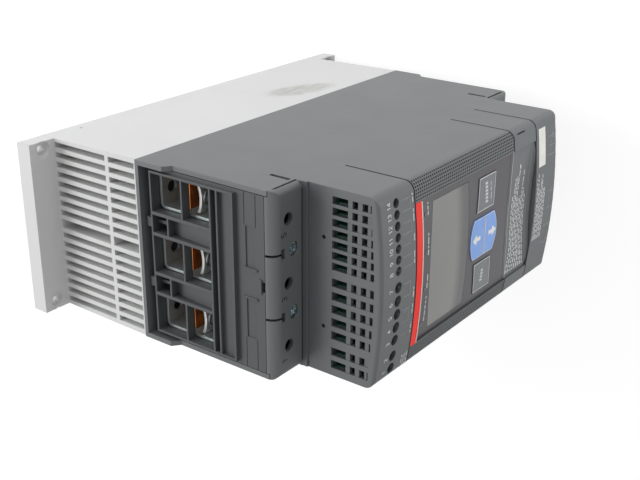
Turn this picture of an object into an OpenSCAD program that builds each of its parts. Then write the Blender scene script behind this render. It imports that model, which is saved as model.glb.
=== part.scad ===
// Soft starter for a three-phase motor: a louvred base, a main housing with terminals at both ends,
// and a control unit with a keypad on its convex front.
// +X is the unit's right, +Z is up and the front faces -Y. The wall it is fixed to is the plane y = 0,
// and the origin is the middle of the fixing holes. A depth d is counted from the wall, so it lies at y = -d.

/* [Overall] */
// Width across the housings
unit_w = 90; // [90:0.5:110]
// Width at the wall, where the base's sides draw in
wall_w = 88; // [87:0.5:90]
// Height over the fixing flanges
flange_h = 245; // [240:1:270]
// Wall thickness of the mouldings
wall = 2.4; // [1.8:0.1:3]
// Gap between mouldings that seat in one another
seat_gap = 0.3; // [0.2:0.05:0.5]

/* [Base housing] */
// Height of the base between its flanges
base_h = 215.4; // [212:0.2:220]
// Depth of the base housing
base_d = 65.3; // [65:0.1:75]
// Thickness of the fixing flanges
flange_t = 9; // [6:0.5:12]
// Thickness of the base's back
back_t = 3; // [2:0.5:4]
// Distance between fixing holes across the unit
hole_pitch_x = 80; // [70:1:80]
// Distance between fixing holes along the unit
hole_pitch_z = 230; // [228:1:234]
// Radius of a fixing hole
hole_r = 3.1; // [2.2:0.1:3.5]
// Radius of the shallow ring round a fixing hole
hole_ring_r = 4.2; // [3.8:0.1:4.5]
// Depth of that ring
hole_ring_d = 0.5; // [0.2:0.1:1]

/* [Louvres] */
// Depth of the louvre bars along the air's way
louvre_t = 8; // [3:0.5:10]
// Distance from slot to slot
louvre_pitch = 5; // [4.4:0.1:5]
// Height of a slot
louvre_slot = 2.8; // [2:0.1:3.4]
// Height of the slot in the middle
louvre_mid = 4.8; // [3:0.1:6]
// Slots on each side of the middle one
louvre_rows = 8; // [4:1:8]
// Length of the rear slots
louvre_rear = 34.9; // [30:0.1:36]
// Rib between the rear and front slots
louvre_rib = 2.4; // [1.5:0.1:4]
// Length of the front slots
louvre_front = 17; // [12:0.1:17]

/* [Cooling] */
// Room left in front of the fan
fan_gap = 2.3; // [1:0.1:6]
// Thickness of the fan
fan_t = 25; // [20:1:28]
// Radius of the rotor's hub
fan_hub_r = 13; // [10:0.5:15]
// Blades on the rotor
fan_blades = 7; // [5:1:9]
// Slope of a blade
fan_pitch = 35; // [25:1:45]
// Radius of the rotor's shaft
fan_shaft_r = 1.5; // [1:0.1:2]
// Running clearance of turning parts
run_gap = 0.05; // [0.02:0.01:0.1]
// Gap between the heat sink's sides and the base
sink_gap = 1.6; // [0.5:0.1:4]
// Depth at which the heat sink's mounting face lies
sink_face = 57; // [54:0.5:60]
// Thickness of the heat sink's plate
sink_plate = 7; // [5:0.5:9]
// Distance of the power modules from the heat sink's sides
module_edge = 1.5; // [0.5:0.1:4]
// Depth of a power module
module_d = 22; // [18:1:24]
// Depth of a bypass relay's body
relay_d = 22; // [18:1:24]
// Depth of the foot under a bypass relay
relay_foot_d = 2; // [1:0.5:3]
// Step between a bypass relay's sides and its foot
relay_foot_in = 3; // [1:0.5:5]
// Fins on the heat sink
sink_fins = 13; // [9:1:15]
// Thickness of a fin
sink_fin_t = 2; // [1.5:0.1:2.5]

/* [Main housing] */
// Depth of the main housing, from the base to its front
main_d = 77.9; // [77.5:0.1:84]
// Height of the main housing's side walls
side_h = 209.2; // [207:0.2:212]
// Height of the main housing at its ledges
ledge_h = 217; // [214:0.2:220]
// Length of a ledge along the side wall
ledge_d = 17; // [12:0.5:20]
// Thickness of the ledge's rear bar
ledge_bar = 3.2; // [2:0.1:3.6]
// Height of the inner compartment between the terminal bays
core_h = 148; // [140:1:150]
// Thickness of the bays' inner walls
bay_wall = 2; // [1.5:0.1:3]
// Height of the rim that carries the control unit
rim_h = 170; // [169.5:0.5:174]
// Thickness of that rim
rim_t = 2.7; // [1.5:0.1:4]
// Length of the short slots in the side walls
side_slot_d = 10.8; // [8:0.2:11]
// Height of those slots
side_slot_h = 2.2; // [1.5:0.1:3]
// Radius of the screw bosses between the housings
boss_r = 4; // [3.5:0.1:4.5]
// Radius of the housing screws
housing_screw_r = 1.75; // [1.25:0.05:2]

/* [Terminals] */
// Material left between the outer windows' ribs and the frame's sides
pole_side = 0.15; // [0:0.05:1]
// Thickness of the shroud's floor
shroud_t = 3; // [2.4:0.1:4]
// Height of the raised frame above the floor
frame_rise = 2; // [1:0.1:3]
// Step between the shroud's sides and the raised frame
frame_inset = 1.5; // [0.5:0.1:3]
// Depth at which the frame starts, counted from the base
frame_back = 6.6; // [6.4:0.1:7]
// Depth of the frame
frame_d = 50.2; // [49.8:0.1:51]
// Width of a cable window
window_w = 18.5; // [17.5:0.1:19]
// Depth of a rear cable window
window_rear = 18.3; // [16.8:0.1:18.6]
// Depth of a front cable window
window_front = 16; // [15:0.1:17]
// Thickness of the ribs around the windows
duct_rib = 1; // [0.8:0.1:1.2]
// How far the ducts reach below the shroud's floor
duct_drop = 4.6; // [2:0.2:6]
// Depth from the windows' rear edge to the rib across a recess
recess_back = 10; // [8:0.1:12]
// Depth of the narrow groove in front of the windows
groove_d = 3; // [2:0.1:3.6]
// Width of the fine lines in the front panel
line_w = 0.3; // [0.2:0.1:0.5]
// Distance of those lines from the panel's middle
line_gap = 3.2; // [2.8:0.1:4]
// Depth of the wide channel in front of the groove
channel_d = 7.7; // [6:0.1:8]
// Height of the clamp screws' axes above the middle of the unit
clamp_z = 94.6; // [94:0.1:95]
// Width of a clamp cage
cage_w = 17.8; // [15.6:0.1:17.9]
// Length of a clamp cage along its screw
cage_d = 40.7; // [38:0.1:41]
// Clearance of a clamp cage behind and below the shroud
cage_gap = 0.4; // [0.3:0.1:0.8]
// Height of a clamp cage
cage_h = 15.2; // [13.6:0.2:16]
// Wall thickness of a clamp cage
cage_t = 1.2; // [1:0.1:1.6]
// Corner radius of a clamp cage
cage_r = 2.6; // [2:0.1:3]
// Travel of a clamp cage
cage_travel = 8; // [4:0.5:8]
// Radius of a clamp screw
clamp_r = 4; // [3:0.1:4.4]
// Radius of a clamp screw's point
point_r = 2.4; // [1.8:0.1:2.6]
// Length of the point beyond its saddle
point_l = 2; // [1:0.1:2.5]
// Radius of the hole in a clamp cage's rear wall
cage_hole_r = 2.75; // [2:0.05:3.5]
// Radius of a clamp screw's head
clamp_head_r = 6; // [5:0.1:6.4]
// Length of a clamp screw's head
clamp_head_l = 6; // [4:0.2:6.5]
// Key width of a clamp screw's hexagon socket
clamp_key = 5; // [4:0.5:6]
// Width of a bus bar
bar_w = 12; // [10:0.5:12.5]
// Thickness of a bus bar
bar_t = 2; // [1.5:0.1:2.5]
// Thickness of a pressure saddle
saddle_t = 1.4; // [1:0.1:2]
// Radius of a pressure saddle's bend
saddle_r = 17; // [12:0.5:24]
// Width of a pressure saddle
saddle_w = 13.8; // [12:0.1:14.4]
// Distance from a bus bar to the shoulder of its clamp screw
saddle_reach = 7.2; // [6.5:0.1:10]
// Height of the pad between a saddle and that shoulder
saddle_pad = 0.6; // [0.4:0.1:1]

/* [Terminal covers] */
// Height of a cover's front strip
strip_h = 19.4; // [19:0.1:19.6]
// Radius of a cover's rounded edge
strip_r = 5; // [3:0.1:6]
// Radius of a cover's side edges
strip_side_r = 3; // [2:0.1:3.4]
// Depth of a cover's top lip
strip_lip = 5; // [4.6:0.1:5.4]
// Radius of a tool hole
tool_r = 3; // [2.9:0.1:3.4]
// Radius of a cover screw's recess
recess_r = 3.4; // [3.2:0.1:3.8]
// Distance of the cover screws below the tool holes
recess_drop = 4; // [3.6:0.1:4]
// Width of a slit between the poles
slit_w = 1.2; // [0.8:0.1:2]
// Width of the slit's cross bar
slit_bar_w = 4.7; // [3:0.1:5.4]
// Height of the slit's cross bar
slit_bar_h = 2.4; // [1.5:0.1:3]
// Radius of a cover screw's shank
cover_screw_r = 1.75; // [1.25:0.05:2]

/* [Control unit] */
// Height of the control unit
control_h = 168.4; // [167:0.2:169]
// Depth of the control unit at its sides
control_d = 35.6; // [35:0.1:42]
// Height of the front's crown
crown = 3.5; // [3:0.1:4.5]
// Radius of the vertical front edges
edge_r = 5; // [4:0.1:6]
// Radius of the front's top and bottom edges
end_r = 1.8; // [1:0.1:2]
// Height of the seam above the keypad
seam_top = 56.8; // [56.6:0.1:57.2]
// Height of the seam below the keypad, at the sides
seam_mid = -36; // [-37:0.1:-35.6]
// Height of the seam below the lid
seam_low = -60; // [-61:0.1:-59.6]
// Width of a seam
seam_gap = 0.5; // [0.2:0.05:0.6]
// Distance of the control board's posts from the middle
post_side = 30; // [20:0.5:34]
// Height of the upper posts
post_top = 46; // [30:0.5:52]
// Depth of the lower posts below the middle
post_low = 70; // [40:0.5:74]
// Width of the opening between the housings
pass_w = 40; // [20:1:50]
// Height of that opening
pass_h = 30; // [20:1:40]
// Thickness of the circuit boards
board_t = 1.6; // [1.2:0.1:2]

/* [Control terminals] */
// Poles in the input block
input_poles = 7; // [5:1:7]
// Pitch of the input block
input_pitch = 5.1; // [5:0.01:5.1]
// Distance of the input block's first pole from the unit's side
input_edge = 5.5; // [5:0.1:6.5]
// Gap between the input block and the relay block
relay_gap = 2.025; // [1:0.025:4]
// Poles in the relay block
relay_poles = 5; // [3:1:5]
// Gap between the relay block and the supply block
supply_gap = 1.65; // [1:0.05:4]
// Poles in the supply block
supply_poles = 2; // [1:1:2]
// Distance of the supply block's end from the unit's side
supply_edge = 2.525; // [2.4:0.025:5]
// Height of the entries over the input block
input_entry_h = 3.5; // [3:0.1:3.8]
// Height of the entries over the other blocks
relay_entry_h = 4; // [3.4:0.1:4]
// Depth from the control unit's back to the wire entries
entry_back = 12.9; // [12:0.1:13.5]
// Length of a wire entry
entry_d = 7.8; // [6:0.1:8]
// Length of the small square holes in front of an entry
vent_d = 2.75; // [2:0.05:3]
// Pitch of those holes
vent_pitch = 5.1; // [4.8:0.05:5.2]
// Material left between the last hole and the front
vent_front = 4; // [3:0.1:5]
// Height of the terminal screws above the middle of the unit
screw_row_z = 71.2; // [71:0.1:71.6]
// Radius of the screw holes over the input block
input_hole_r = 2.1; // [1.9:0.1:2.2]
// Radius of the screw holes over the other blocks
relay_hole_r = 2.6; // [2.2:0.1:2.8]

/* [Keypad] */
// Width of the keypad panel
panel_w = 70; // [69:0.5:72]
// Height of the panel's upper edge
panel_top = 50.3; // [50:0.1:50.4]
// Height of the panel's lower edge
panel_low = -30; // [-30.4:0.1:-29]
// Radius of the panel's arched lower edge
panel_arch_r = 128; // [120:1:400]
// How far the panel lies below the crown
panel_drop = 1.2; // [0.8:0.1:1.6]
// Thickness of the panel
panel_t = 1.2; // [0.8:0.1:1.6]
// Height of the red strip
red_h = 5.8; // [5:0.1:5.9]
// Thickness of the red strip
red_t = 0.8; // [0.5:0.1:1]
// Width of the display window
display_w = 62.8; // [60:0.2:64]
// Upper edge of the display window in the middle
display_top = 43.1; // [42:0.1:43.4]
// Lower edge of the display window
display_low = 8.6; // [8.2:0.1:10]
// Rise of the window's arched upper edge
display_arch = 2.8; // [1:0.1:3.5]
// Border by which the window rests on the bezel
display_lip = 1; // [0.6:0.1:1.5]
// Inner edge of the select and exit keys, from the middle
key_in = 13.3; // [12.6:0.1:14]
// Outer edge of the select and exit keys
key_out = 30.3; // [29:0.1:31]
// Upper edge of the select and exit keys at their inner ends
key_top = 1.3; // [0.6:0.1:1.6]
// Height of the select and exit keys
key_h = 16.6; // [14:0.1:17]
// Fall of the select and exit keys towards the sides
key_fall = 2.7; // [0:0.1:3]
// Half width of the arrow keys
arrow_half = 10.6; // [9:0.1:11]
// Upper end of the arrow keys
arrow_top = 6.9; // [6:0.1:7.2]
// Height of the line between the arrow keys
arrow_split = -7; // [-8:0.1:-6]
// Lower end of the arrow keys
arrow_low = -19.6; // [-20:0.1:-19]
// Radius of the arrow keys' arched ends
arrow_arch_r = 19; // [16:0.5:24]
// Clearance round a key
key_gap = 0.3; // [0.2:0.05:0.4]
// How far a key stands above the panel
key_proud = 0.4; // [0.2:0.1:0.8]
// Travel of a key
key_travel = 0.5; // [0.3:0.1:0.6]
// Width of a key's retaining flange
key_flange = 0.9; // [0.6:0.1:1]
// Radius of a light pipe
pipe_r = 0.9; // [0.6:0.1:1.2]
// Height of the light pipes
pipe_z = 47; // [46.6:0.1:47.4]
// Distance from pipe to pipe
pipe_pitch = 18; // [14:0.5:20]
// Depth of the keypad board's back behind the front's side edges
keypad_depth = 9.1; // [8.6:0.1:10]
// Gap between the keypad board and the side walls
keypad_gap = 3.6; // [2:0.1:5]
// How far the keypad board lies above the panel's edges
keypad_shift = 2; // [0.5:0.1:2.2]
// Distance of the board's posts from its edges
keypad_post = 4; // [3:0.1:6]

/* [Scoop lid] */
// Radius of the lid's concave front
scoop_r = 330; // [250:5:500]
// Depth of the scoop below the crown's top at its lower end
scoop_depth = 5.1; // [4:0.1:6]
// Height at which the scoop begins
scoop_z = -30.4; // [-34:0.1:-29.8]
// Length of the slit in the lid's right edge
lid_slit_h = 8; // [4:0.5:12]
// Width of that slit
lid_slit_w = 0.6; // [0.3:0.1:1]
// Clearance of a part in its opening on the front
front_gap = 0.2; // [0.1:0.05:0.3]

/* [Hidden] */
$fn = 64;
crown_fn = 360;
hex_fn = 6;
cut = 1;

half_w = unit_w / 2;
half_wall = wall_w / 2;
half_base = base_h / 2;
half_side = side_h / 2;
half_ledge = ledge_h / 2;
half_core = core_h / 2;
half_rim = rim_h / 2;
half_control = control_h / 2;
inner_w = half_w - wall;

// Depths of the stack, counted from the wall
main_front = base_d + main_d;
rim_front = main_front + rim_t;
control_side = rim_front + control_d;
front_d = control_side + crown;

// The convex front is a cylinder round an upright axis behind the unit
crown_r = (half_w * half_w + crown * crown) / (2 * crown);
crown_y = crown_r - front_d;
edge_x = half_w - edge_r;
edge_d = sqrt(pow(crown_r - edge_r, 2) - edge_x * edge_x) - crown_y;
end_blend = 0.02;

// Louvres
louvre_back = flange_t + 0.4;
louvre_first = louvre_mid / 2 + louvre_pitch - louvre_slot / 2;

// Cooling
fan_w = base_d - back_t - fan_gap;
sink_w = min(wall_w, unit_w) - 2 * (wall + sink_gap);
fan_z = -(half_base - louvre_t);
fan_d = back_t + fan_w / 2;
fan_tip_r = fan_w / 2 - 1.4 - 0.8;
boss_x = half_w - 7.5;
boss_z = half_base - louvre_t - boss_r - 1.2;
sink_bottom = fan_z + fan_t + 2;
sink_top = boss_z - boss_r - 0.5;
sink_pitch = (sink_w - sink_fin_t) / (sink_fins - 1);

// Shroud levels and depths
floor_top = half_side;
floor_low = floor_top - shroud_t;
rim_top = floor_top + frame_rise;
shroud_half = inner_w - seat_gap;
half_frame = shroud_half - frame_inset;
pole_pitch = half_frame - duct_rib - window_w / 2 - pole_side;
frame_d0 = base_d + frame_back;
frame_d1 = frame_d0 + frame_d;
duct_d0 = frame_d0 + duct_rib;
duct_mid = duct_d0 + window_rear;
duct_d1 = duct_mid + duct_rib + window_front;
groove_d0 = duct_d1 + duct_rib;
channel_d0 = groove_d0 + groove_d + duct_rib;
shroud_d0 = base_d + ledge_bar + seat_gap;
strip_back = main_front - strip_lip;
shroud_d1 = strip_back - seam_gap / 2;

// Clamps
cage_back = duct_d0 + cage_gap;
cage_front = cage_back + cage_d;
cage_top = floor_low - cage_gap;
bar_front = duct_mid;
bar_back = bar_front - bar_t;
saddle_front = bar_front + saddle_reach;
web_back = cage_front + cage_travel + 2;
web_t = 3;
web_front = web_back + web_t;
clamp_head_d = web_front + 0.1;
thread_pitch = 1.5;

// Terminal covers
strip_z0 = half_side - strip_h;
recess_z = clamp_z - recess_drop;
recess_floor = main_front - 3.4;
pillar_front = main_front - 8;
screw_x = pole_pitch / 2;

// Boards and inner pieces
power_board_d = web_back - 4;
thyristor_front = sink_face + module_d;
thyristor_w = 27;
thyristor_h = 78;
thyristor_x = (sink_w - thyristor_w) / 2 - module_edge;
control_plate = 2.2;
control_board_d = rim_front + control_plate + 2;
board_front = control_board_d + board_t;
keypad_board_d = control_side - keypad_depth;
keypad_board_front = keypad_board_d + board_t;
dome_t = 1.2;
key_base = keypad_board_front + dome_t + key_travel + front_gap;
keypad_half = inner_w - keypad_gap;
keypad_z = [panel_low + keypad_shift, panel_top + keypad_shift];
pipe_x = [for (i = [-1.5 : 1.5]) i * pipe_pitch];

// Keypad levels, as radii of the crown
panel_face = crown_r - panel_drop;
panel_foot = panel_low - panel_arch_r + sqrt(pow(panel_arch_r, 2) - pow(panel_w / 2, 2));
panel_floor = panel_face - panel_t;
bezel_inner = panel_floor - wall;
flange_face = bezel_inner - key_gap;

// Poles of the control terminals, from the right to the left
input_first = half_w - input_edge;
input_end = input_first - (input_poles - 0.5) * input_pitch;
relay_room = input_end - relay_gap - supply_gap + half_w - supply_edge;
relay_pitch = relay_room / (relay_poles + supply_poles);
relay_first = input_end - relay_gap - relay_pitch / 2;
supply_first = supply_edge - half_w + (supply_poles - 0.5) * relay_pitch;
input_x = [for (i = [0 : input_poles - 1]) input_first - i * input_pitch];
relay_x = [for (i = [0 : relay_poles - 1]) relay_first - i * relay_pitch];
supply_x = [for (i = [0 : supply_poles - 1]) supply_first - i * relay_pitch];
pole_x = [-pole_pitch, 0, pole_pitch];
gap_x = [-screw_x, screw_x];

// Depth of the convex front at a distance x from the middle
function front_at(x, inset = 0) = sqrt(pow(crown_r - inset, 2) - x * x) - crown_y;

// A block between two widths, two depths and two heights
module block(x, d, z) {
    translate([x[0], -d[1], z[0]]) cube([x[1] - x[0], d[1] - d[0], z[1] - z[0]]);
}

// A block that lies evenly about a middle x
module centred(x, w, d, z) {
    block([x - w / 2, x + w / 2], d, z);
}

// A rod along the depth
module rod(x, z, d, r, sides = $fn) {
    translate([x, -d[0], z]) rotate([90, 0, 0]) cylinder(h = d[1] - d[0], r = r, $fn = sides);
}

// An upright rod
module upright(x, d, z, r) {
    translate([x, -d, z[0]]) cylinder(h = z[1] - z[0], r = r);
}

// A plan in x and y, raised between two heights
module tall(z) {
    translate([0, 0, z[0]]) linear_extrude(z[1] - z[0]) children();
}

// An outline in x and z, carried between two depths
module deep(d) {
    translate([0, -d[0], 0]) rotate([90, 0, 0]) linear_extrude(d[1] - d[0]) children();
}

// A section in y and z, carried between two widths
module wide(x) {
    translate([x[0], 0, 0]) rotate([90, 0, 90]) linear_extrude(x[1] - x[0]) children();
}

// The load end is the line end mirrored
module load_end() {
    mirror([0, 0, 1]) children();
}

module both_ends() {
    children();
    load_end() children();
}

// A rectangle with round corners, from a low to a high corner
module rounded(low, high, r) {
    translate([low[0] + r, low[1]]) square([high[0] - low[0] - 2 * r, high[1] - low[1]]);
    translate([low[0], low[1] + r]) square([high[0] - low[0], high[1] - low[1] - 2 * r]);
    for (x = [low[0] + r, high[0] - r]) {
        for (y = [low[1] + r, high[1] - r]) {
            translate([x, y]) circle(r);
        }
    }
}

// Plan of the base, whose sides draw in towards the wall
module base_plan(depth, inset = 0) {
    back = half_wall - inset;
    front = back + (half_w - half_wall) * depth / base_d;
    polygon([[-back, 0], [back, 0], [front, -depth], [-front, -depth]]);
}

// Slots of one louvred end
module louvre_slots() {
    z = [half_base - louvre_t - cut / 2, half_base + cut];
    rear = [louvre_back, louvre_back + louvre_rear];
    front = [rear[1] + louvre_rib, rear[1] + louvre_rib + louvre_front];
    for (d = [rear, front]) {
        centred(0, louvre_mid, d, z);
        for (row = [0 : louvre_rows - 1]) {
            for (side = [-1, 1]) {
                centred(side * (louvre_first + row * louvre_pitch), louvre_slot, d, z);
            }
        }
    }
}

// A ring cut out of the convex front's cylinder
module crown_ring(inner, outer, z) {
    translate([0, crown_y, 0]) tall(z) difference() {
        circle(outer, $fn = crown_fn);
        circle(inner, $fn = crown_fn);
    }
}

// Plan of the control unit, with its convex front and rounded edges
module control_plan(inset = 0) {
    bend = edge_r - inset;
    tangent_x = edge_x * (crown_r - inset) / (crown_r - edge_r);
    intersection() {
        translate([0, crown_y]) circle(crown_r - inset, $fn = crown_fn);
        union() {
            translate([inset - half_w, -edge_d]) square([unit_w - 2 * inset, edge_d - rim_front + cut]);
            translate([-tangent_x, -front_d - cut]) square([2 * tangent_x, front_d - rim_front + 2 * cut]);
            for (side = [-1, 1]) {
                translate([side * edge_x, -edge_d]) circle(bend);
            }
        }
    }
}

// A slice of the control unit between two heights, from its back to its front
module control_slice(z, inset = 0) {
    intersection() {
        tall(z) control_plan(inset);
        block([-unit_w, unit_w], [rim_front, front_d + cut], z);
    }
}

// The whole control unit with its front rounded towards both ends
module control_form() {
    bend_r = crown_r - end_r;
    bend_z = half_control - end_r;
    difference() {
        control_slice([-half_control, half_control]);
        both_ends() translate([0, crown_y, 0]) rotate_extrude($fn = crown_fn) difference() {
            translate([bend_r, bend_z]) square(end_r + cut);
            translate([bend_r - end_blend, bend_z - end_blend]) circle(end_r + 2 * end_blend);
        }
    }
}

// Outline of the select key at the right; margin widens it
module side_key_outline(margin) {
    x0 = key_in - margin;
    x1 = key_out + margin;
    slope = key_fall / (key_out - key_in);
    top0 = key_top + margin + slope * margin;
    top1 = key_top + margin - key_fall - slope * margin;
    height = key_h + 2 * margin;
    polygon([[x0, top0], [x1, top1], [x1, top1 - height], [x0, top0 - height]]);
}

// Outline of the upper arrow key, arched at its upper end
module up_key_outline(margin, split) {
    intersection() {
        translate([-arrow_half - margin, split]) {
            square([2 * (arrow_half + margin), arrow_top - split + margin]);
        }
        translate([0, arrow_top - arrow_arch_r]) circle(arrow_arch_r + margin);
    }
}

// Outline of the lower arrow key, arched at its lower end
module down_key_outline(margin, split) {
    intersection() {
        translate([-arrow_half - margin, arrow_low - margin]) {
            square([2 * (arrow_half + margin), split - arrow_low + margin]);
        }
        translate([0, arrow_low + arrow_arch_r]) circle(arrow_arch_r + margin);
    }
}

// All key openings
module key_openings() {
    side_key_outline(0);
    mirror([1, 0]) side_key_outline(0);
    up_key_outline(0, arrow_split - cut);
    down_key_outline(0, arrow_split + cut);
}

// Outline of the display window, arched at its upper edge
module display_outline(margin) {
    half = display_w / 2;
    arch_r = (half * half + display_arch * display_arch) / (2 * display_arch);
    intersection() {
        translate([-half - margin, display_low - margin]) {
            square([display_w + 2 * margin, display_top - display_low + 2 * margin]);
        }
        translate([0, display_top - arch_r]) circle(arch_r + margin, $fn = crown_fn);
    }
}

// Hollow in the lid's front: a wide cylinder that leans back towards its lower end
module scoop_hollow(x, z) {
    fall = scoop_depth - panel_drop;
    lean = atan(fall / (scoop_z - z[0]));
    reach = 2 * (scoop_z - z[0]);
    intersection() {
        block(x, [rim_front, front_d + cut], [z[0] - cut, z[1] + cut]);
        translate([0, panel_drop - front_d, scoop_z]) rotate([lean, 0, 0]) {
            translate([0, -scoop_r, -reach]) cylinder(h = 2 * reach, r = scoop_r, $fn = crown_fn);
        }
    }
}

// Disc whose edge is the arched line between the panel and the lid; margin widens it
module lid_arch(margin) {
    deep([rim_front - cut, front_d + cut]) {
        translate([0, panel_low - panel_arch_r]) circle(panel_arch_r + margin, $fn = crown_fn);
    }
}

module base_housing() {
    end_in = half_base - louvre_t;
    color("gainsboro") difference() {
        union() {
            difference() {
                union() {
                    tall([-half_base, half_base]) base_plan(base_d);
                    tall([-flange_h / 2, flange_h / 2]) base_plan(flange_t);
                }
                intersection() {
                    tall([-end_in, end_in]) base_plan(base_d + cut, wall);
                    block([-unit_w, unit_w], [back_t, base_d + cut], [-end_in, end_in]);
                }
                both_ends() louvre_slots();
            }
            for (x = [-boss_x, boss_x]) {
                for (z = [-boss_z, boss_z]) {
                    rod(x, z, [back_t - cut, base_d], boss_r);
                }
            }
        }
        for (x = [-hole_pitch_x / 2, hole_pitch_x / 2]) {
            for (z = [-hole_pitch_z / 2, hole_pitch_z / 2]) {
                rod(x, z, [-cut, flange_t + cut], hole_r);
                rod(x, z, [flange_t - hole_ring_d, flange_t + cut], hole_ring_r);
            }
        }
        for (x = [-boss_x, boss_x]) {
            for (z = [-boss_z, boss_z]) {
                rod(x, z, [-cut, base_d + cut], housing_screw_r);
                rod(x, z, [-cut, housing_screw_r + 0.4], 2 * housing_screw_r);
            }
        }
    }
}

// Extruded heat sink: a plate with fins towards the wall
module heat_sink() {
    color("silver") tall([sink_bottom, sink_top]) {
        translate([-sink_w / 2, -sink_face]) square([sink_w, sink_plate]);
        for (i = [0 : sink_fins - 1]) {
            translate([-sink_w / 2 + i * sink_pitch, -sink_face + sink_plate - cut]) {
                square([sink_fin_t, sink_face - sink_plate - back_t + cut]);
            }
        }
    }
}

// Fan frame with its round duct, four struts and the shaft's bearing
module fan_frame() {
    hub_plate = 3;
    bearing_r = fan_shaft_r + 2;
    color("dimgray") difference() {
        union() {
            difference() {
                centred(0, fan_w, [back_t, back_t + fan_w], [fan_z, fan_z + fan_t]);
                upright(0, fan_d, [fan_z - cut, fan_z + fan_t + cut], fan_w / 2 - 1.4);
            }
            upright(0, fan_d, [fan_z, fan_z + hub_plate], fan_hub_r);
            upright(0, fan_d, [fan_z, fan_z + fan_t - 8], bearing_r);
            centred(0, hub_plate, [back_t, back_t + fan_w], [fan_z, fan_z + hub_plate]);
            block([-fan_w / 2, fan_w / 2], [fan_d - hub_plate / 2, fan_d + hub_plate / 2],
                [fan_z, fan_z + hub_plate]);
        }
        upright(0, fan_d, [fan_z + hub_plate, fan_z + fan_t], fan_shaft_r + run_gap);
    }
}

// Fan rotor: hub cup, sloped blades and shaft
module fan_rotor() {
    hub_low = fan_z + 4;
    hub_top = fan_z + fan_t - 2;
    blade_mid = (hub_low + hub_top) / 2;
    blade_h = 0.8 * (hub_top - hub_low);
    color("black") union() {
        difference() {
            upright(0, fan_d, [hub_low, hub_top], fan_hub_r);
            upright(0, fan_d, [hub_low - cut, hub_top - 2], fan_hub_r - 2);
        }
        upright(0, fan_d, [fan_z + 5, hub_top - cut], fan_shaft_r);
        intersection() {
            difference() {
                upright(0, fan_d, [hub_low, hub_top], fan_tip_r);
                upright(0, fan_d, [hub_low - cut, hub_top + cut], fan_hub_r - 0.5);
            }
            for (i = [0 : fan_blades - 1]) {
                translate([0, -fan_d, blade_mid]) rotate([0, 0, i * 360 / fan_blades]) {
                    rotate([fan_pitch, 0, 0]) translate([0, -0.6, -blade_h / 2]) {
                        cube([fan_tip_r + cut, 1.2, blade_h]);
                    }
                }
            }
        }
    }
}

// Thyristor module on the heat sink, with a step for its terminals at both ends
module thyristor(side) {
    x = side * thyristor_x;
    step = 6;
    color("saddlebrown") difference() {
        centred(x, thyristor_w, [sink_face, thyristor_front], [-thyristor_h / 2, thyristor_h / 2]);
        for (end = [-1, 1]) {
            centred(x, thyristor_w + 2 * cut, [sink_face + 2 * step, thyristor_front + cut],
                [end * (thyristor_h / 2 - step / 2) - step, end * (thyristor_h / 2 - step / 2) + step]);
        }
    }
}

// Bent bus bar from a clamp to its thyristor
module line_bus_bar(side) {
    x = side * pole_pitch;
    foot_z = thyristor_h / 2 - 16;
    color("peru") wide([x - bar_w / 2, x + bar_w / 2]) polygon([
        [-bar_front, cage_top - 1], [-bar_back, cage_top - 1], [-bar_back, foot_z + bar_t],
        [-thyristor_front, foot_z + bar_t], [-thyristor_front, foot_z - bar_w],
        [-thyristor_front - bar_t, foot_z - bar_w], [-thyristor_front - bar_t, foot_z], [-bar_front, foot_z]]);
}

// Straight bus bar of the phase that isn't controlled
module middle_bus_bar() {
    color("peru") centred(0, bar_w, [bar_back, bar_front], [1 - cage_top, cage_top - 1]);
}

// Bypass relay under the power board
module bypass_relay(side) {
    x = side * thyristor_x;
    relay_h = 48;
    relay_w = thyristor_w - 1;
    relay_back = power_board_d - relay_d;
    color("darkslategray") union() {
        centred(x, relay_w, [relay_back, power_board_d], [-relay_h / 2, relay_h / 2]);
        centred(x, relay_w - 2 * relay_foot_in, [relay_back - relay_foot_d, relay_back],
            [relay_foot_in - relay_h / 2, relay_h / 2 - relay_foot_in]);
    }
}

// Current sensor: a coil body that the load bar runs through
module current_sensor(side) {
    x = side * pole_pitch;
    sensor_z = -half_core + 16;
    bore = bar_w / 2 + 1.2;
    middle = (bar_back + bar_front) / 2;
    color("black") difference() {
        union() {
            upright(x, middle, [sensor_z - 6, sensor_z + 6], bore + 3);
            centred(x, 2 * bore, [middle, power_board_d], [sensor_z - 6, sensor_z + 6]);
        }
        upright(x, middle, [sensor_z - 6 - cut, sensor_z + 6 + cut], bore);
    }
}

// Power board behind the main housing's front
module power_board() {
    board_half = inner_w - seat_gap;
    color("darkgreen") difference() {
        centred(0, 2 * board_half, [power_board_d, power_board_d + board_t], [4 - half_core, half_core - 4]);
        for (x = [-board_half + 6, board_half - 6]) {
            for (z = [12 - half_core, half_core - 12]) {
                rod(x, z, [power_board_d - cut, power_board_d + board_t + cut], housing_screw_r);
            }
        }
    }
}

// One terminal bay of the main housing, as a cut
module terminal_bay() {
    bay_z = half_core + bay_wall;
    block([-inner_w, inner_w], [base_d + bay_wall, main_front - wall], [bay_z, half_ledge + cut]);
    block([-half_w - cut, half_w + cut], [strip_back + 1.4, main_front + cut], [strip_z0, half_ledge + cut]);
    block([-inner_w, inner_w], [main_front - wall - cut, main_front + cut], [strip_z0, half_ledge + cut]);
}

// Ledge at one end: a bar across the back and two side blocks with sloped ends
module ledge() {
    slope = half_ledge - half_side;
    difference() {
        wide([-half_w, half_w]) polygon([[-base_d, half_side - cut], [-base_d, half_ledge],
            [-base_d - ledge_d, half_ledge], [-base_d - ledge_d - slope, half_side - cut]]);
        block([-inner_w, inner_w], [base_d + ledge_bar, main_front], [half_side - 2 * cut, half_ledge + cut]);
    }
}

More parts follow.
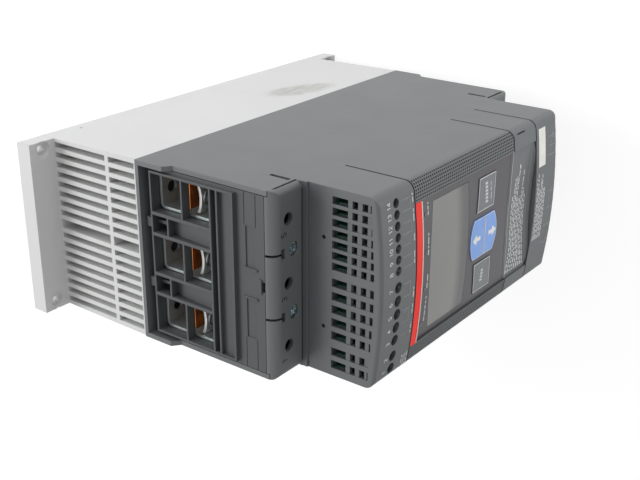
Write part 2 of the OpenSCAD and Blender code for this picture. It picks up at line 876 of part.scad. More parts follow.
// Inner walls of one bay: the wall that bears the clamp screws, and the cover's pillars
module bay_web() {
    difference() {
        union() {
            block([-inner_w - cut, inner_w + cut], [web_back, web_front], [half_core, floor_low]);
            for (x = gap_x) {
                rod(x, recess_z, [web_front - cut, pillar_front], boss_r);
            }
            for (x = [-boss_x, boss_x]) {
                rod(x, boss_z, [base_d, frame_d0 - 0.4], boss_r);
            }
        }
        for (x = pole_x) {
            rod(x, clamp_z, [web_back - cut, web_front + cut], clamp_r + run_gap);
        }
        for (x = gap_x) {
            rod(x, recess_z, [web_front - 1, pillar_front + cut], cover_screw_r);
        }
    }
}

// Main housing: side walls, inner compartment, two terminal bays and the control unit's rim
module main_housing() {
    post_x = inner_w - seat_gap - 6;
    slot_z = half_rim + 1.9;
    color("dimgray") difference() {
        union() {
            difference() {
                union() {
                    block([-half_w, half_w], [base_d, main_front], [-half_side, half_side]);
                    both_ends() ledge();
                }
                block([-inner_w, inner_w], [base_d - cut, main_front - wall], [-half_core, half_core]);
                both_ends() terminal_bay();
            }
            both_ends() bay_web();
            difference() {
                block([-half_w, half_w], [main_front - cut, rim_front], [-half_rim, half_rim]);
                block([-inner_w, inner_w], [main_front - 2 * cut, rim_front + cut],
                    [4 - half_rim, half_rim - 4]);
            }
            for (x = [-post_x, post_x]) {
                for (z = [12 - half_core, half_core - 12]) {
                    rod(x, z, [power_board_d + board_t, main_front - wall + cut], boss_r);
                }
            }
        }
        both_ends() {
            for (x = pole_x) {
                centred(x, bar_w + 2 * seat_gap, [bar_back - seat_gap, bar_front + seat_gap],
                    [half_core - cut, half_core + bay_wall + cut]);
            }
            for (x = [-half_w - cut, inner_w - cut]) {
                block([x, x + wall + 2 * cut], [strip_back - 0.2 - side_slot_d, strip_back - 0.2],
                    [slot_z - side_slot_h / 2, slot_z + side_slot_h / 2]);
            }
            for (x = [-boss_x, boss_x]) {
                rod(x, boss_z, [base_d - cut, frame_d0], housing_screw_r);
            }
        }
        centred(0, pass_w, [main_front - wall - cut, rim_front], [-pass_h / 2, pass_h / 2]);
    }
}

// Sloped recess between two poles of the shroud
module pole_recess(x) {
    low = floor_low + 0.8;
    d0 = duct_d0 + recess_back;
    d1 = duct_d1 - 0.2;
    half = (pole_pitch - window_w) / 2 - duct_rib - 0.6;
    wide([x - half, x + half]) {
        polygon([[-d0, low], [-d0, rim_top + cut], [-d1, rim_top + cut], [-d1, floor_top]]);
    }
    block([x - half, x + half], [duct_d0, d0 - duct_rib], [floor_low - cut, rim_top + cut]);
}

// Cable shroud of one end: raised frame, six cable windows, recesses, groove and front panel
module cable_shroud() {
    half_window = window_w / 2;
    duct_low = floor_low - duct_drop;
    frame_in = half_frame - duct_rib;
    tab_half = 2.3;
    panel_mid = (frame_d1 + shroud_d1) / 2;
    color("dimgray") difference() {
        union() {
            block([-shroud_half, shroud_half], [frame_d0, shroud_d1], [floor_low, floor_top]);
            block([-half_frame, half_frame], [frame_d0, frame_d1], [floor_low, rim_top]);
            for (x = pole_x) {
                centred(x, window_w + 2 * duct_rib, [frame_d0, duct_d1 + duct_rib], [duct_low, floor_top]);
            }
            for (x = gap_x) {
                centred(x, 2 * tab_half, [shroud_d0, frame_d0 + cut], [floor_low, rim_top - 0.6]);
                centred(x, 1.6, [frame_d0, duct_d0 + recess_back], [floor_low, floor_low + 1.2]);
            }
            for (x = [-7, 7]) {
                centred(x, 1, [panel_mid - 4, panel_mid + 4], [floor_top - cut, floor_top + 0.6]);
            }
            centred(0, 7, [shroud_d1 - 3.4, shroud_d1 - 1.6], [floor_top - cut, floor_top + 0.6]);
        }
        for (x = pole_x) {
            for (d = [[duct_d0, duct_mid], [duct_mid + duct_rib, duct_d1]]) {
                centred(x, window_w, d, [duct_low - cut, rim_top + cut]);
            }
            centred(x, window_w, [duct_d0, duct_d1 + 2 * duct_rib], [duct_low - cut, floor_low]);
        }
        for (x = gap_x) {
            difference() {
                pole_recess(x);
                centred(x, 1.6, [frame_d0, duct_d0 + recess_back], [floor_low - cut, floor_low + 1.2]);
            }
        }
        block([-frame_in, frame_in], [groove_d0, groove_d0 + groove_d], [floor_low + 1, rim_top + cut]);
        block([-frame_in, frame_in], [channel_d0, channel_d0 + channel_d], [floor_top, rim_top + cut]);
        for (side = [-1, 1]) {
            centred(side * 17.2, 19.2, [panel_mid - 2.6, panel_mid + 2.6], [floor_top - 0.5, floor_top + cut]);
        }
        for (side = [-1, 1]) {
            for (d = [panel_mid - line_gap, panel_mid + line_gap]) {
                block([side * 34.5 - 7.5, side * 34.5 + 7.5], [d - line_w / 2, d + line_w / 2],
                    [floor_top - line_w, floor_top + cut]);
            }
        }
        centred(0, 5, [shroud_d1 - 1.6, shroud_d1 + cut], [floor_low - cut, floor_top + cut]);
    }
}

// Section of a terminal cover: a front plate that bends over into a short lip
module strip_section() {
    difference() {
        union() {
            translate([-main_front, strip_z0]) square([wall, strip_h - strip_r]);
            translate([-main_front + strip_r, half_side - wall]) square([strip_lip - strip_r + 0.01, wall]);
            translate([-main_front + strip_r, half_side - strip_r]) intersection() {
                circle(strip_r);
                translate([-strip_r, 0]) square(strip_r);
            }
        }
        translate([-main_front + strip_r, half_side - strip_r]) circle(strip_r - wall);
    }
}

// Terminal cover of one end, with tool holes, screw recesses and slits
module terminal_cover() {
    lip = strip_back + 1.4 + seat_gap / 2;
    color("dimgray") difference() {
        union() {
            intersection() {
                wide([-half_w, half_w]) strip_section();
                tall([strip_z0, half_side]) {
                    rounded([-half_w, -main_front], [half_w, -base_d], strip_side_r);
                }
                union() {
                    block([-half_w, half_w], [lip, main_front], [strip_z0, half_side]);
                    block([-shroud_half, shroud_half], [strip_back - cut, main_front], [strip_z0, half_side]);
                }
            }
            for (x = gap_x) {
                rod(x, recess_z, [pillar_front, main_front - wall + 0.5], boss_r + 0.6);
            }
        }
        for (x = pole_x) {
            rod(x, clamp_z, [strip_back, main_front + cut], tool_r);
        }
        for (x = gap_x) {
            rod(x, recess_z, [recess_floor, main_front + cut], recess_r);
            rod(x, recess_z, [pillar_front - cut, main_front], cover_screw_r + seat_gap);
            bar_z = half_side - strip_r - slit_bar_h / 2;
            centred(x, slit_w, [strip_back - cut, main_front + cut], [bar_z, half_side + cut]);
            centred(x, slit_bar_w, [main_front - wall - cut, main_front + cut],
                [bar_z - slit_bar_h / 2, bar_z + slit_bar_h / 2]);
        }
    }
}

// Clamp cage: a ring of strip metal that a cable passes through, with the screw's hole in front
module clamp_cage(side) {
    x = side * pole_pitch;
    color("silver") difference() {
        tall([cage_top - cage_h, cage_top]) difference() {
            rounded([x - cage_w / 2, -cage_front], [x + cage_w / 2, -cage_back], cage_r);
            rounded([x - cage_w / 2 + cage_t, -cage_front + cage_t],
                [x + cage_w / 2 - cage_t, -cage_back - cage_t],
                cage_r - cage_t);
        }
        rod(x, clamp_z, [cage_front - cage_t - cut, cage_front + cut], clamp_r + run_gap);
        rod(x, clamp_z, [cage_back - cut, cage_back + cage_t + cut], cage_hole_r);
    }
}

// Clamp screw with a hexagon socket, borne by the bay's wall, and a point that passes through its saddle
module clamp_screw(side) {
    x = side * pole_pitch;
    head = [clamp_head_d, clamp_head_d + clamp_head_l];
    tip = saddle_front - saddle_pad - saddle_t - point_l;
    color("lightsteelblue") difference() {
        union() {
            rod(x, clamp_z, [tip + point_r / 2, saddle_front + cut], point_r);
            translate([x, -tip, clamp_z]) rotate([90, 0, 0]) {
                cylinder(h = point_r / 2, r1 = point_r / 2, r2 = point_r);
            }
            rod(x, clamp_z, [saddle_front, head[0] + cut], clamp_r);
            rod(x, clamp_z, head, clamp_head_r);
        }
        rod(x, clamp_z, [head[0] + 1.5, head[1] + cut], clamp_key / sqrt(3), hex_fn);
    }
}

// Pressure saddles at the tips of the clamp screws
module pressure_saddles() {
    crest = saddle_front - saddle_pad;
    color("gainsboro") both_ends() {
        for (x = pole_x) {
            difference() {
                union() {
                    intersection() {
                        tall([cage_top - cage_h + 1.2, cage_top - 1.6]) translate([x, saddle_r - crest]) difference() {
                            circle(saddle_r);
                            circle(saddle_r - saddle_t);
                        }
                        centred(x, saddle_w, [bar_front, saddle_front], [0, half_base]);
                    }
                    rod(x, clamp_z, [crest - saddle_t / 2, saddle_front], clamp_r - saddle_pad);
                }
                rod(x, clamp_z, [bar_front, saddle_front + cut], point_r + run_gap);
            }
        }
    }
}

// Recessed cross-slot screws of the terminal covers
module cover_screws() {
    head_r = recess_r - seat_gap;
    head = [recess_floor, recess_floor + 2];
    slot_w = 0.9;
    color("lightsteelblue") both_ends() {
        for (x = gap_x) {
            difference() {
                union() {
                    rod(x, recess_z, head, head_r);
                    rod(x, recess_z, [web_front, head[0] + 0.5], cover_screw_r - run_gap);
                }
                for (turn = [45, -45]) {
                    translate([x, -head[1], recess_z]) rotate([0, turn, 0]) {
                        translate([-head_r * 0.7, -cut, -slot_w / 2]) cube([head_r * 1.4, 2.2 * cut, slot_w]);
                    }
                }
            }
        }
    }
}

// Screws that join the base to the main housing, driven from the back
module housing_screws() {
    head_l = housing_screw_r;
    color("silver") {
        for (x = [-boss_x, boss_x]) {
            for (z = [-boss_z, boss_z]) {
                difference() {
                    union() {
                        rod(x, z, [0.4, head_l + 0.4], 2 * housing_screw_r - seat_gap);
                        rod(x, z, [head_l, frame_d0 - 2], housing_screw_r - run_gap);
                    }
                    centred(x, 4 * housing_screw_r, [0, 1], [z - 0.5, z + 0.5]);
                }
            }
        }
    }
}

// Entries over one control terminal block: a wire slot, two square holes and a hole that follows the front
module wire_entries(places, height) {
    d0 = rim_front + entry_back;
    first_vent = d0 + entry_d + 2.3;
    z = [half_control - 2 * wall, half_control + cut];
    for (x = places) {
        last = front_at(abs(x) + height / 2) - vent_front;
        centred(x, height, [d0, d0 + entry_d], z);
        for (i = [0, 1]) {
            centred(x, height, [first_vent + i * vent_pitch, first_vent + i * vent_pitch + vent_d], z);
        }
        centred(x, height, [first_vent + 2 * vent_pitch - 0.3, last], z);
        centred(x, height, [d0, last], [half_control - 0.4, half_control + cut]);
    }
}

// Control housing: upper section over the terminals, lower section and the plate that joins them
module control_housing() {
    top = seam_top + seam_gap / 2;
    low = seam_low - seam_gap / 2;
    plate_half = inner_w - seat_gap;
    pin_x = 21.5;
    pin_r = 1;
    color("dimgray") difference() {
        union() {
            difference() {
                control_form();
                control_slice([wall - half_control, half_control - wall], wall);
                block([-unit_w, unit_w], [rim_front - cut, front_d + cut], [low, top]);
            }
            intersection() {
                control_slice([low - wall, low]);
                block([-unit_w, unit_w], [front_d - scoop_depth - wall, front_d], [low - wall, low]);
            }
            block([-plate_half, plate_half], [rim_front + seat_gap, rim_front + control_plate],
                [wall - half_control - cut, half_control - wall + cut]);
            for (x = [-post_side, post_side]) {
                for (z = [-post_low, post_top]) {
                    rod(x, z, [rim_front + control_plate - cut, control_board_d], 3);
                }
            }
        }
        centred(0, pass_w, [rim_front - cut, rim_front + control_plate + cut], [-pass_h / 2, pass_h / 2]);
        wire_entries(input_x, input_entry_h);
        wire_entries(concat(relay_x, supply_x), relay_entry_h);
        for (x = input_x) {
            rod(x, screw_row_z, [control_side - 6, front_d + cut], input_hole_r);
        }
        for (x = concat(relay_x, supply_x)) {
            rod(x, screw_row_z, [control_side - 6, front_d + cut], relay_hole_r);
        }
        for (x = [-pin_x, pin_x]) {
            upright(x, rim_front + 8.4, [half_control - wall - cut, half_control + cut], pin_r);
        }
    }
}

// A control terminal block with a wire hole and a screw bore for each pole
module terminal_block(places, pitch, height) {
    count = len(places);
    middle = (places[0] + places[count - 1]) / 2;
    body_w = count * pitch - 2 * seat_gap;
    d0 = rim_front + entry_back;
    top = half_control - wall - seat_gap;
    low = screw_row_z - 7;
    color("seagreen") difference() {
        union() {
            centred(middle, body_w, [board_front, d0 + entry_d + 1], [low, top]);
            centred(middle, body_w, [d0 + entry_d, control_side - 4.6], [low, screw_row_z + 4.6]);
        }
        for (x = places) {
            centred(x, height - 0.6, [d0 + 0.6, d0 + entry_d - 1.4], [screw_row_z - 3, top + cut]);
            rod(x, screw_row_z, [d0 + entry_d - 2, control_side], height / 2 - 0.2);
        }
    }
}

// Slotted screws of the control terminals
module terminal_screws() {
    d0 = rim_front + entry_back + entry_d - 2;
    head_d = control_side - 9;
    color("silver") {
        for (x = concat(input_x, relay_x, supply_x)) {
            difference() {
                rod(x, screw_row_z, [d0, head_d], input_entry_h / 2 - 0.2 - run_gap);
                centred(x, input_entry_h, [head_d - 0.8, head_d + cut], [screw_row_z - 0.3, screw_row_z + 0.3]);
            }
        }
    }
}

// Control board on the posts of the control housing's plate
module control_board() {
    board_half = inner_w - 2 * seat_gap;
    color("darkgreen") {
        centred(0, 2 * board_half, [control_board_d, board_front], [6 - half_control, half_control - 6]);
    }
}

// Keypad bezel: the front between the two seams, with the panel's recess and the keys' openings
module keypad_bezel() {
    z = [seam_mid + seam_gap / 2, seam_top - seam_gap / 2];
    half_panel = panel_w / 2;
    post = 2.4;
    post_x = keypad_half - keypad_post;
    color("dimgray") difference() {
        union() {
            difference() {
                control_slice(z);
                intersection() {
                    block([-inner_w, inner_w], [rim_front - cut, front_d], [z[0] - cut, z[1] + cut]);
                    crown_ring(crown_r - 3 * control_d, bezel_inner, [z[0] - cut, z[1] + cut]);
                }
            }
            for (x = [-post_x, post_x]) {
                for (zp = [keypad_z[0] + keypad_post, keypad_z[1] - keypad_post]) {
                    rod(x, zp, [keypad_board_front, front_at(x) - panel_drop - panel_t - 1], post);
                }
            }
        }
        intersection() {
            block([-half_panel, half_panel], [rim_front, front_d + cut], [panel_low, panel_top]);
            crown_ring(panel_floor, crown_r + cut, [panel_low - cut, panel_top + cut]);
        }
        intersection() {
            block([-half_panel, half_panel], [rim_front, front_d + cut],
                [panel_top + seam_gap, panel_top + red_h + seam_gap]);
            crown_ring(crown_r - red_t, crown_r + cut, z);
        }
        block([-half_panel, half_panel], [rim_front - cut, front_d + cut], [z[0] - cut, panel_low]);
        deep([keypad_board_front, front_d + cut]) {
            key_openings();
            display_outline(-display_lip);
        }
        for (x = pipe_x) {
            rod(x, pipe_z, [keypad_board_front, front_d + cut], pipe_r + front_gap);
        }
    }
}

// Keypad panel with openings for the keys, the window and the light pipes
module keypad_panel() {
    half_panel = panel_w / 2 - front_gap;
    z = [panel_foot, panel_top - front_gap];
    color("dimgray") difference() {
        intersection() {
            block([-half_panel, half_panel], [rim_front, front_d], z);
            crown_ring(panel_floor, panel_face, z);
        }
        lid_arch(front_gap);
        deep([rim_front, front_d + cut]) {
            key_openings();
            display_outline(front_gap);
        }
        for (x = pipe_x) {
            rod(x, pipe_z, [rim_front, front_d + cut], pipe_r + front_gap);
        }
    }
}

// Bare red strip above the panel
module red_strip() {
    half = panel_w / 2 - front_gap;
    z = [panel_top + seam_gap + front_gap, panel_top + seam_gap + red_h - front_gap];
    color("tomato") intersection() {
        block([-half, half], [rim_front, front_d], z);
        crown_ring(crown_r - red_t, crown_r, z);
    }
}

// Display window, set flush in the panel
module display_window() {
    color("gray") intersection() {
        deep([rim_front, front_d]) display_outline(0);
        crown_ring(panel_floor, panel_face, [display_low - cut, display_top + cut]);
    }
}

// Display module on the keypad board
module display_module() {
    half = display_w / 2 - display_lip - seat_gap;
    glass_half = half - 4;
    z = [display_low + display_lip + seat_gap, display_top - display_arch - display_lip - seat_gap];
    front = front_at(half) - panel_drop - panel_t - wall - seat_gap;
    color("darkgray") union() {
        block([-half, half], [keypad_board_front, front], z);
        block([-glass_half, glass_half], [front - cut, front + 1.4], [z[0] + 3, z[1] - 3]);
    }
}

// Keypad board on the bezel's posts
module keypad_board() {
    color("darkgreen") centred(0, 2 * keypad_half, [keypad_board_d, keypad_board_front], keypad_z);
}

// Middle of the four keys, in x and z
function key_middles() = let (side_x = (key_in + key_out) / 2, side_z = key_top - (key_fall + key_h) / 2)
    [[side_x, side_z], [-side_x, side_z], [0, arrow_split + 5.6], [0, arrow_split - 5.6]];

// Snap domes under the keys
module key_domes() {
    color("silver") {
        for (place = key_middles()) {
            translate([place[0], -keypad_board_front, place[1]]) rotate([90, 0, 0]) {
                cylinder(h = dome_t, r1 = 3, r2 = 2);
            }
        }
    }
}

// Light pipes from the keypad board to the panel
module light_pipes() {
    color("honeydew") {
        for (x = pipe_x) {
            intersection() {
                rod(x, pipe_z, [keypad_board_front, front_d], pipe_r);
                crown_ring(crown_r - control_d, panel_face + 0.2, [pipe_z - 3, pipe_z + 3]);
            }
        }
    }
}

// A key: its cap follows the crown, and a flange behind the bezel keeps it in
module key_body() {
    intersection() {
        deep([key_base, front_d]) children(0);
        crown_ring(crown_r - control_d, panel_face + key_proud, [arrow_low - 3, arrow_top + 3]);
    }
    intersection() {
        deep([key_base, front_d]) children(1);
        crown_ring(crown_r - control_d, flange_face, [arrow_low - 3, arrow_top + 3]);
    }
}

module select_key() {
    color("gray") key_body() {
        side_key_outline(-key_gap);
        side_key_outline(key_flange);
    }
}

module exit_key() {
    color("gray") mirror([1, 0, 0]) key_body() {
        side_key_outline(-key_gap);
        side_key_outline(key_flange);
    }
}

module up_key() {
    color("cornflowerblue") key_body() {
        up_key_outline(-key_gap, arrow_split + key_gap / 2);
        up_key_outline(key_flange, arrow_split + key_gap / 2);
    }
}

module down_key() {
    color("cornflowerblue") key_body() {
        down_key_outline(-key_gap, arrow_split - key_gap / 2);
        down_key_outline(key_flange, arrow_split - key_gap / 2);
    }
}

// Lid below the keypad: two side blocks and a concave front between them
module scoop_lid() {
    z = [seam_low + seam_gap / 2, seam_mid - seam_gap / 2];
    half_tongue = panel_w / 2 - front_gap;
    tongue_top = panel_low - front_gap;
    cavity = control_side - 8;
    slit_x = half_w - edge_r / 2;
    slit_z = z[1] - lid_slit_h / 2;
    color("dimgray") difference() {
        union() {
            control_slice(z);
            intersection() {
                control_slice([z[1] - cut, tongue_top]);
                block([-half_tongue, half_tongue], [cavity - cut, front_d + cut], [z[0], tongue_top]);
                lid_arch(-front_gap);
            }
        }
        block([-inner_w, inner_w], [rim_front - cut, cavity], [z[0] - cut, z[1] + cut]);
        intersection() {
            block([-half_tongue, half_tongue], [cavity, front_d + cut], [z[0] - cut, tongue_top + cut]);
            crown_ring(panel_face, crown_r + cut, [z[0] - cut, tongue_top + cut]);
        }
        scoop_hollow([-half_tongue, half_tongue], [z[0], tongue_top]);
        centred(slit_x, lid_slit_w, [control_side - edge_r, front_d + cut], [slit_z - lid_slit_h, slit_z]);
    }
}

base_housing();
heat_sink();
fan_frame();
fan_rotor();
thyristor(-1);  // thyristor_left
thyristor(1);  // thyristor_right
line_bus_bar(-1);  // line_bus_bar_left
line_bus_bar(1);  // line_bus_bar_right
load_end() line_bus_bar(-1);  // load_bus_bar_left
load_end() line_bus_bar(1);  // load_bus_bar_right
middle_bus_bar();
bypass_relay(-1);  // bypass_relay_left
bypass_relay(1);  // bypass_relay_right
current_sensor(-1);  // current_sensor_left
current_sensor(1);  // current_sensor_right
power_board();
main_housing();
cable_shroud();  // line_cable_shroud
load_end() cable_shroud();  // load_cable_shroud
terminal_cover();  // line_terminal_cover
load_end() terminal_cover();  // load_terminal_cover
clamp_cage(-1);  // line_cage_left
clamp_cage(0);  // line_cage_middle
clamp_cage(1);  // line_cage_right
load_end() clamp_cage(-1);  // load_cage_left
load_end() clamp_cage(0);  // load_cage_middle
load_end() clamp_cage(1);  // load_cage_right
clamp_screw(-1);  // line_screw_left
clamp_screw(0);  // line_screw_middle
clamp_screw(1);  // line_screw_right
load_end() clamp_screw(-1);  // load_screw_left
load_end() clamp_screw(0);  // load_screw_middle
load_end() clamp_screw(1);  // load_screw_right
pressure_saddles();
cover_screws();
housing_screws();
control_housing();
terminal_block(supply_x, relay_pitch, relay_entry_h);  // supply_terminal_block
terminal_block(relay_x, relay_pitch, relay_entry_h);  // relay_terminal_block
terminal_block(input_x, input_pitch, input_entry_h);  // input_terminal_block
terminal_screws();
control_board();
keypad_bezel();
keypad_panel();
red_strip();
display_window();
display_module();
keypad_board();
key_domes();
light_pipes();
select_key();
exit_key();
up_key();
down_key();
scoop_lid();
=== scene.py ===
"""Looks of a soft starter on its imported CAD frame: its finishes, its printing and a plain studio.

All lengths are metres in the part's own frame: +X is the unit's right, +Z is up, the front faces -Y
and the wall that the unit is fixed to is the plane y = 0. A depth d lies at y = -d. A name that ends
in _mm holds millimetres.
"""
import logging
from collections.abc import Callable, Iterable
from dataclasses import dataclass, field
from enum import Enum
from typing import Any, ClassVar

import bpy
import numpy as np
from mathutils import Matrix, Vector
from numpy.typing import ArrayLike


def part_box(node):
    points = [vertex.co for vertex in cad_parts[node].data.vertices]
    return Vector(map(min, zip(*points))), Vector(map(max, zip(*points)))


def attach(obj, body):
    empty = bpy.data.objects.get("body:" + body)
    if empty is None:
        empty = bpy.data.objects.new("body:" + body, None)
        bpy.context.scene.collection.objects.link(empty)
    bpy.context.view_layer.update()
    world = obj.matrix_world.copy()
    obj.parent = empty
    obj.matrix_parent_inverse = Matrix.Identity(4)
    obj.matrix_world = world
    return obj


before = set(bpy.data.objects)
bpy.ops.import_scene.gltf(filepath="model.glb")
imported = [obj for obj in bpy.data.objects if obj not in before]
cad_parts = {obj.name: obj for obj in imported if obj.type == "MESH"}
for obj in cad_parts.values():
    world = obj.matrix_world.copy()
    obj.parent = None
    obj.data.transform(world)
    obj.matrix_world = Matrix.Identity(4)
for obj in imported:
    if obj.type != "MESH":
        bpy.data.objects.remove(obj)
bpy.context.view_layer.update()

LOG = logging.getLogger("soft_starter")
MM = 0.001
MAIN_BODY = "unit"
DARK_SLOT = "dark_grey_plastic"

Place = tuple[float, float, float]
Span = tuple[float, float]
Surface = Callable[[np.ndarray, np.ndarray], np.ndarray]
Socket = bpy.types.NodeSocket
Tree = bpy.types.NodeTree


class End(Enum):
    """The two ends of the unit, each with the sign of its height."""

    LINE = 1.0
    LOAD = -1.0


class Side(Enum):
    """The two sides of the unit, each with the sign of its place across."""

    RIGHT = 1.0
    LEFT = -1.0


class Glyph(Enum):
    """The two arrows of the keypad, each with the sign of the way that it points."""

    UP = 1.0
    DOWN = -1.0


def linear(code: str) -> tuple[float, float, float, float]:
    """Turns an sRGB hex colour into linear light.

    Args:
        code: the colour, as "#RRGGBB".

    Returns:
        Red, green, blue and an alpha of 1.
    """
    parts = [int(code[i:i + 2], 16) / 255 for i in (1, 3, 5)]
    red, green, blue = (p / 12.92 if p <= 0.04045 else ((p + 0.055) / 1.055) ** 2.4 for p in parts)
    return red, green, blue, 1.0


def add(tree: Tree, kind: str, inputs: dict[Any, Any] | None = None, out: int | str = 0,
        **settings: Any) -> Socket | None:
    """Adds a node with its settings, its constants and its links.

    Args:
        tree: the node tree that gets the node.
        kind: the node's type name, without the word ShaderNode before it.
        inputs: a constant, or the socket to link, for each input by name or number.
        out: the output that is wanted, by name or number.
        **settings: the node's own settings.

    Returns:
        The wanted output, or None for a node that ends the tree.
    """
    node = tree.nodes.new(f"ShaderNode{kind}")
    for name, value in settings.items():
        setattr(node, name, value)
    for key, value in (inputs or {}).items():
        if isinstance(value, Socket):
            tree.links.new(value, node.inputs[key])
        else:
            node.inputs[key].default_value = value
    return node.outputs[out] if node.outputs else None


# Kinds of finish


@dataclass(frozen=True)
class Finish:
    """A surface finish: a base colour that drifts a little, a fine grain and softened edges."""

    name: str
    colour: str
    drift: str
    roughness: float = 0.5
    metallic: float = 0.0
    specular: float = 0.5
    ior: float = 1.5
    drift_mm: float = 40.0
    grit_mm: float = 0.4
    grit_height_mm: float = 0.02
    grit_stretch: Place = (1.0, 1.0, 1.0)
    edge_mm: float = 0.35
    rough_spread: float = 0.05
    noise_span: ClassVar[Span] = (0.3, 0.7)

    def material(self) -> bpy.types.Material:
        """Makes the material, or finds the one that was made before.

        Returns:
            The material of this finish.
        """
        found = bpy.data.materials.get(self.name)
        if found:
            return found
        material = bpy.data.materials.new(self.name)
        material.use_nodes = True
        tree = material.node_tree
        tree.nodes.clear()
        coords = add(tree, "TexCoord", out="Object")
        shader = add(tree, "BsdfPrincipled", {
            "Base Color": self.paint(tree, coords), "Metallic": self.metallic,
            "Roughness": self.gloss(tree, coords), "IOR": self.ior, "Specular IOR Level": self.specular,
            "Normal": self.relief(tree, coords)})
        add(tree, "OutputMaterial", {"Surface": shader})
        return material

    def cloud(self, tree: Tree, coords: Socket, size_mm: float) -> Socket:
        """Adds a soft noise whose patches have a real size.

        Args:
            tree: the node tree.
            coords: the place on the object.
            size_mm: the size of a patch.

        Returns:
            A value from 0 to 1.
        """
        noise = add(tree, "TexNoise", {"Vector": coords, "Scale": 1 / (size_mm * MM), "Detail": 3.0})
        return add(tree, "MapRange", {0: noise, 1: self.noise_span[0], 2: self.noise_span[1]})

    def paint(self, tree: Tree, coords: Socket) -> Socket:
        """Mixes the base colour with its drift.

        Args:
            tree: the node tree.
            coords: the place on the object.

        Returns:
            The colour.
        """
        share = self.cloud(tree, coords, self.drift_mm)
        return add(tree, "Mix", {0: share, 6: linear(self.colour), 7: linear(self.drift)}, out=2,
                   data_type="RGBA")

    def gloss(self, tree: Tree, coords: Socket) -> Socket | float:
        """Varies the roughness in patches of a third of the drift's size.

        Args:
            tree: the node tree.
            coords: the place on the object.

        Returns:
            The roughness, which is a plain number where it has no spread.
        """
        if not self.rough_spread:
            return self.roughness
        patch = self.cloud(tree, coords, self.drift_mm / 3)
        return add(tree, "MapRange", {0: patch, 3: self.roughness - self.rough_spread,
                                      4: self.roughness + self.rough_spread})

    def relief(self, tree: Tree, coords: Socket) -> Socket:
        """Lays the grain over edges that are softened by a small radius.

        Args:
            tree: the node tree.
            coords: the place on the object.

        Returns:
            The normal.
        """
        placed = add(tree, "VectorMath", {0: coords, 1: self.grit_stretch}, operation="MULTIPLY")
        grain = add(tree, "TexNoise", {"Vector": placed, "Scale": 1 / (self.grit_mm * MM), "Detail": 2.0})
        soft = add(tree, "Bevel", {"Radius": self.edge_mm * MM}, samples=4)
        return add(tree, "Bump", {"Strength": 1.0, "Distance": self.grit_height_mm * MM, "Height": grain,
                                  "Normal": soft})


@dataclass(frozen=True)
class HandledPlastic(Finish):
    """Pale moulded plastic with a rubbed mark and a speck on its right side."""

    mark: str = "#A4A59D"
    mark_at_mm: Place = (45.0, -47.3, -37.5)
    mark_half_mm: Place = (8.0, 12.5, 27.0)
    mark_core: float = 0.5
    mark_tilt: float = -0.307
    mark_strength: Span = (0.3, 0.8)
    ragged_mm: float = 7.0
    streak_mm: float = 2.2
    streak_stretch: Place = (1.0, 1.0, 0.2)
    speck: str = "#6F6D6A"
    speck_at_mm: Place = (44.5, -5.7, 87.6)
    speck_half_mm: Place = (2.0, 0.7, 0.9)
    speck_core: float = 0.6

    def blot(self, tree: Tree, coords: Socket, at_mm: Place, half_mm: Place, core: float,
             tilt: float = 0.0) -> Socket:
        """Masks a soft ellipsoid: 1 within its core, 0 at its rim.

        Args:
            tree: the node tree.
            coords: the place on the object.
            at_mm: the middle.
            half_mm: the three half axes.
            core: the share of the ellipsoid that is full.
            tilt: the turn of the ellipsoid about X, in radians.

        Returns:
            The mask.
        """
        placed = add(tree, "Mapping", {
            "Vector": coords, "Location": tuple(v * MM for v in at_mm), "Rotation": (tilt, 0.0, 0.0),
            "Scale": tuple(v * MM for v in half_mm)}, vector_type="TEXTURE")
        far = add(tree, "VectorMath", {0: placed}, out="Value", operation="LENGTH")
        return add(tree, "MapRange", {0: far, 1: 1.0, 2: core}, interpolation_type="SMOOTHSTEP")

    def paint(self, tree: Tree, coords: Socket) -> Socket:
        """Adds the mark, with its ragged rim and its streaks, and the speck to the drifting base colour.

        Args:
            tree: the node tree.
            coords: the place on the object.

        Returns:
            The colour.
        """
        reach = self.ragged_mm * MM
        wander = add(tree, "TexNoise", {"Vector": coords, "Scale": 1 / reach, "Detail": 4.0}, out="Color")
        ragged = add(tree, "VectorMath", {0: wander, 1: (reach, reach, reach), 2: coords},
                     operation="MULTIPLY_ADD")
        middle = tuple(v + self.ragged_mm / 2 for v in self.mark_at_mm)
        rub = self.blot(tree, ragged, middle, self.mark_half_mm, self.mark_core, self.mark_tilt)
        along = add(tree, "VectorMath", {0: coords, 1: self.streak_stretch}, operation="MULTIPLY")
        streaks = self.cloud(tree, along, self.streak_mm)
        uneven = add(tree, "MapRange", {0: streaks, 3: self.mark_strength[0], 4: self.mark_strength[1]})
        faint = add(tree, "Math", {0: rub, 1: uneven}, operation="MULTIPLY")
        spot = self.blot(tree, coords, self.speck_at_mm, self.speck_half_mm, self.speck_core)
        colour = super().paint(tree, coords)
        for share, code in ((faint, self.mark), (spot, self.speck)):
            colour = add(tree, "Mix", {0: share, 6: colour, 7: linear(code)}, out=2, data_type="RGBA")
        return colour


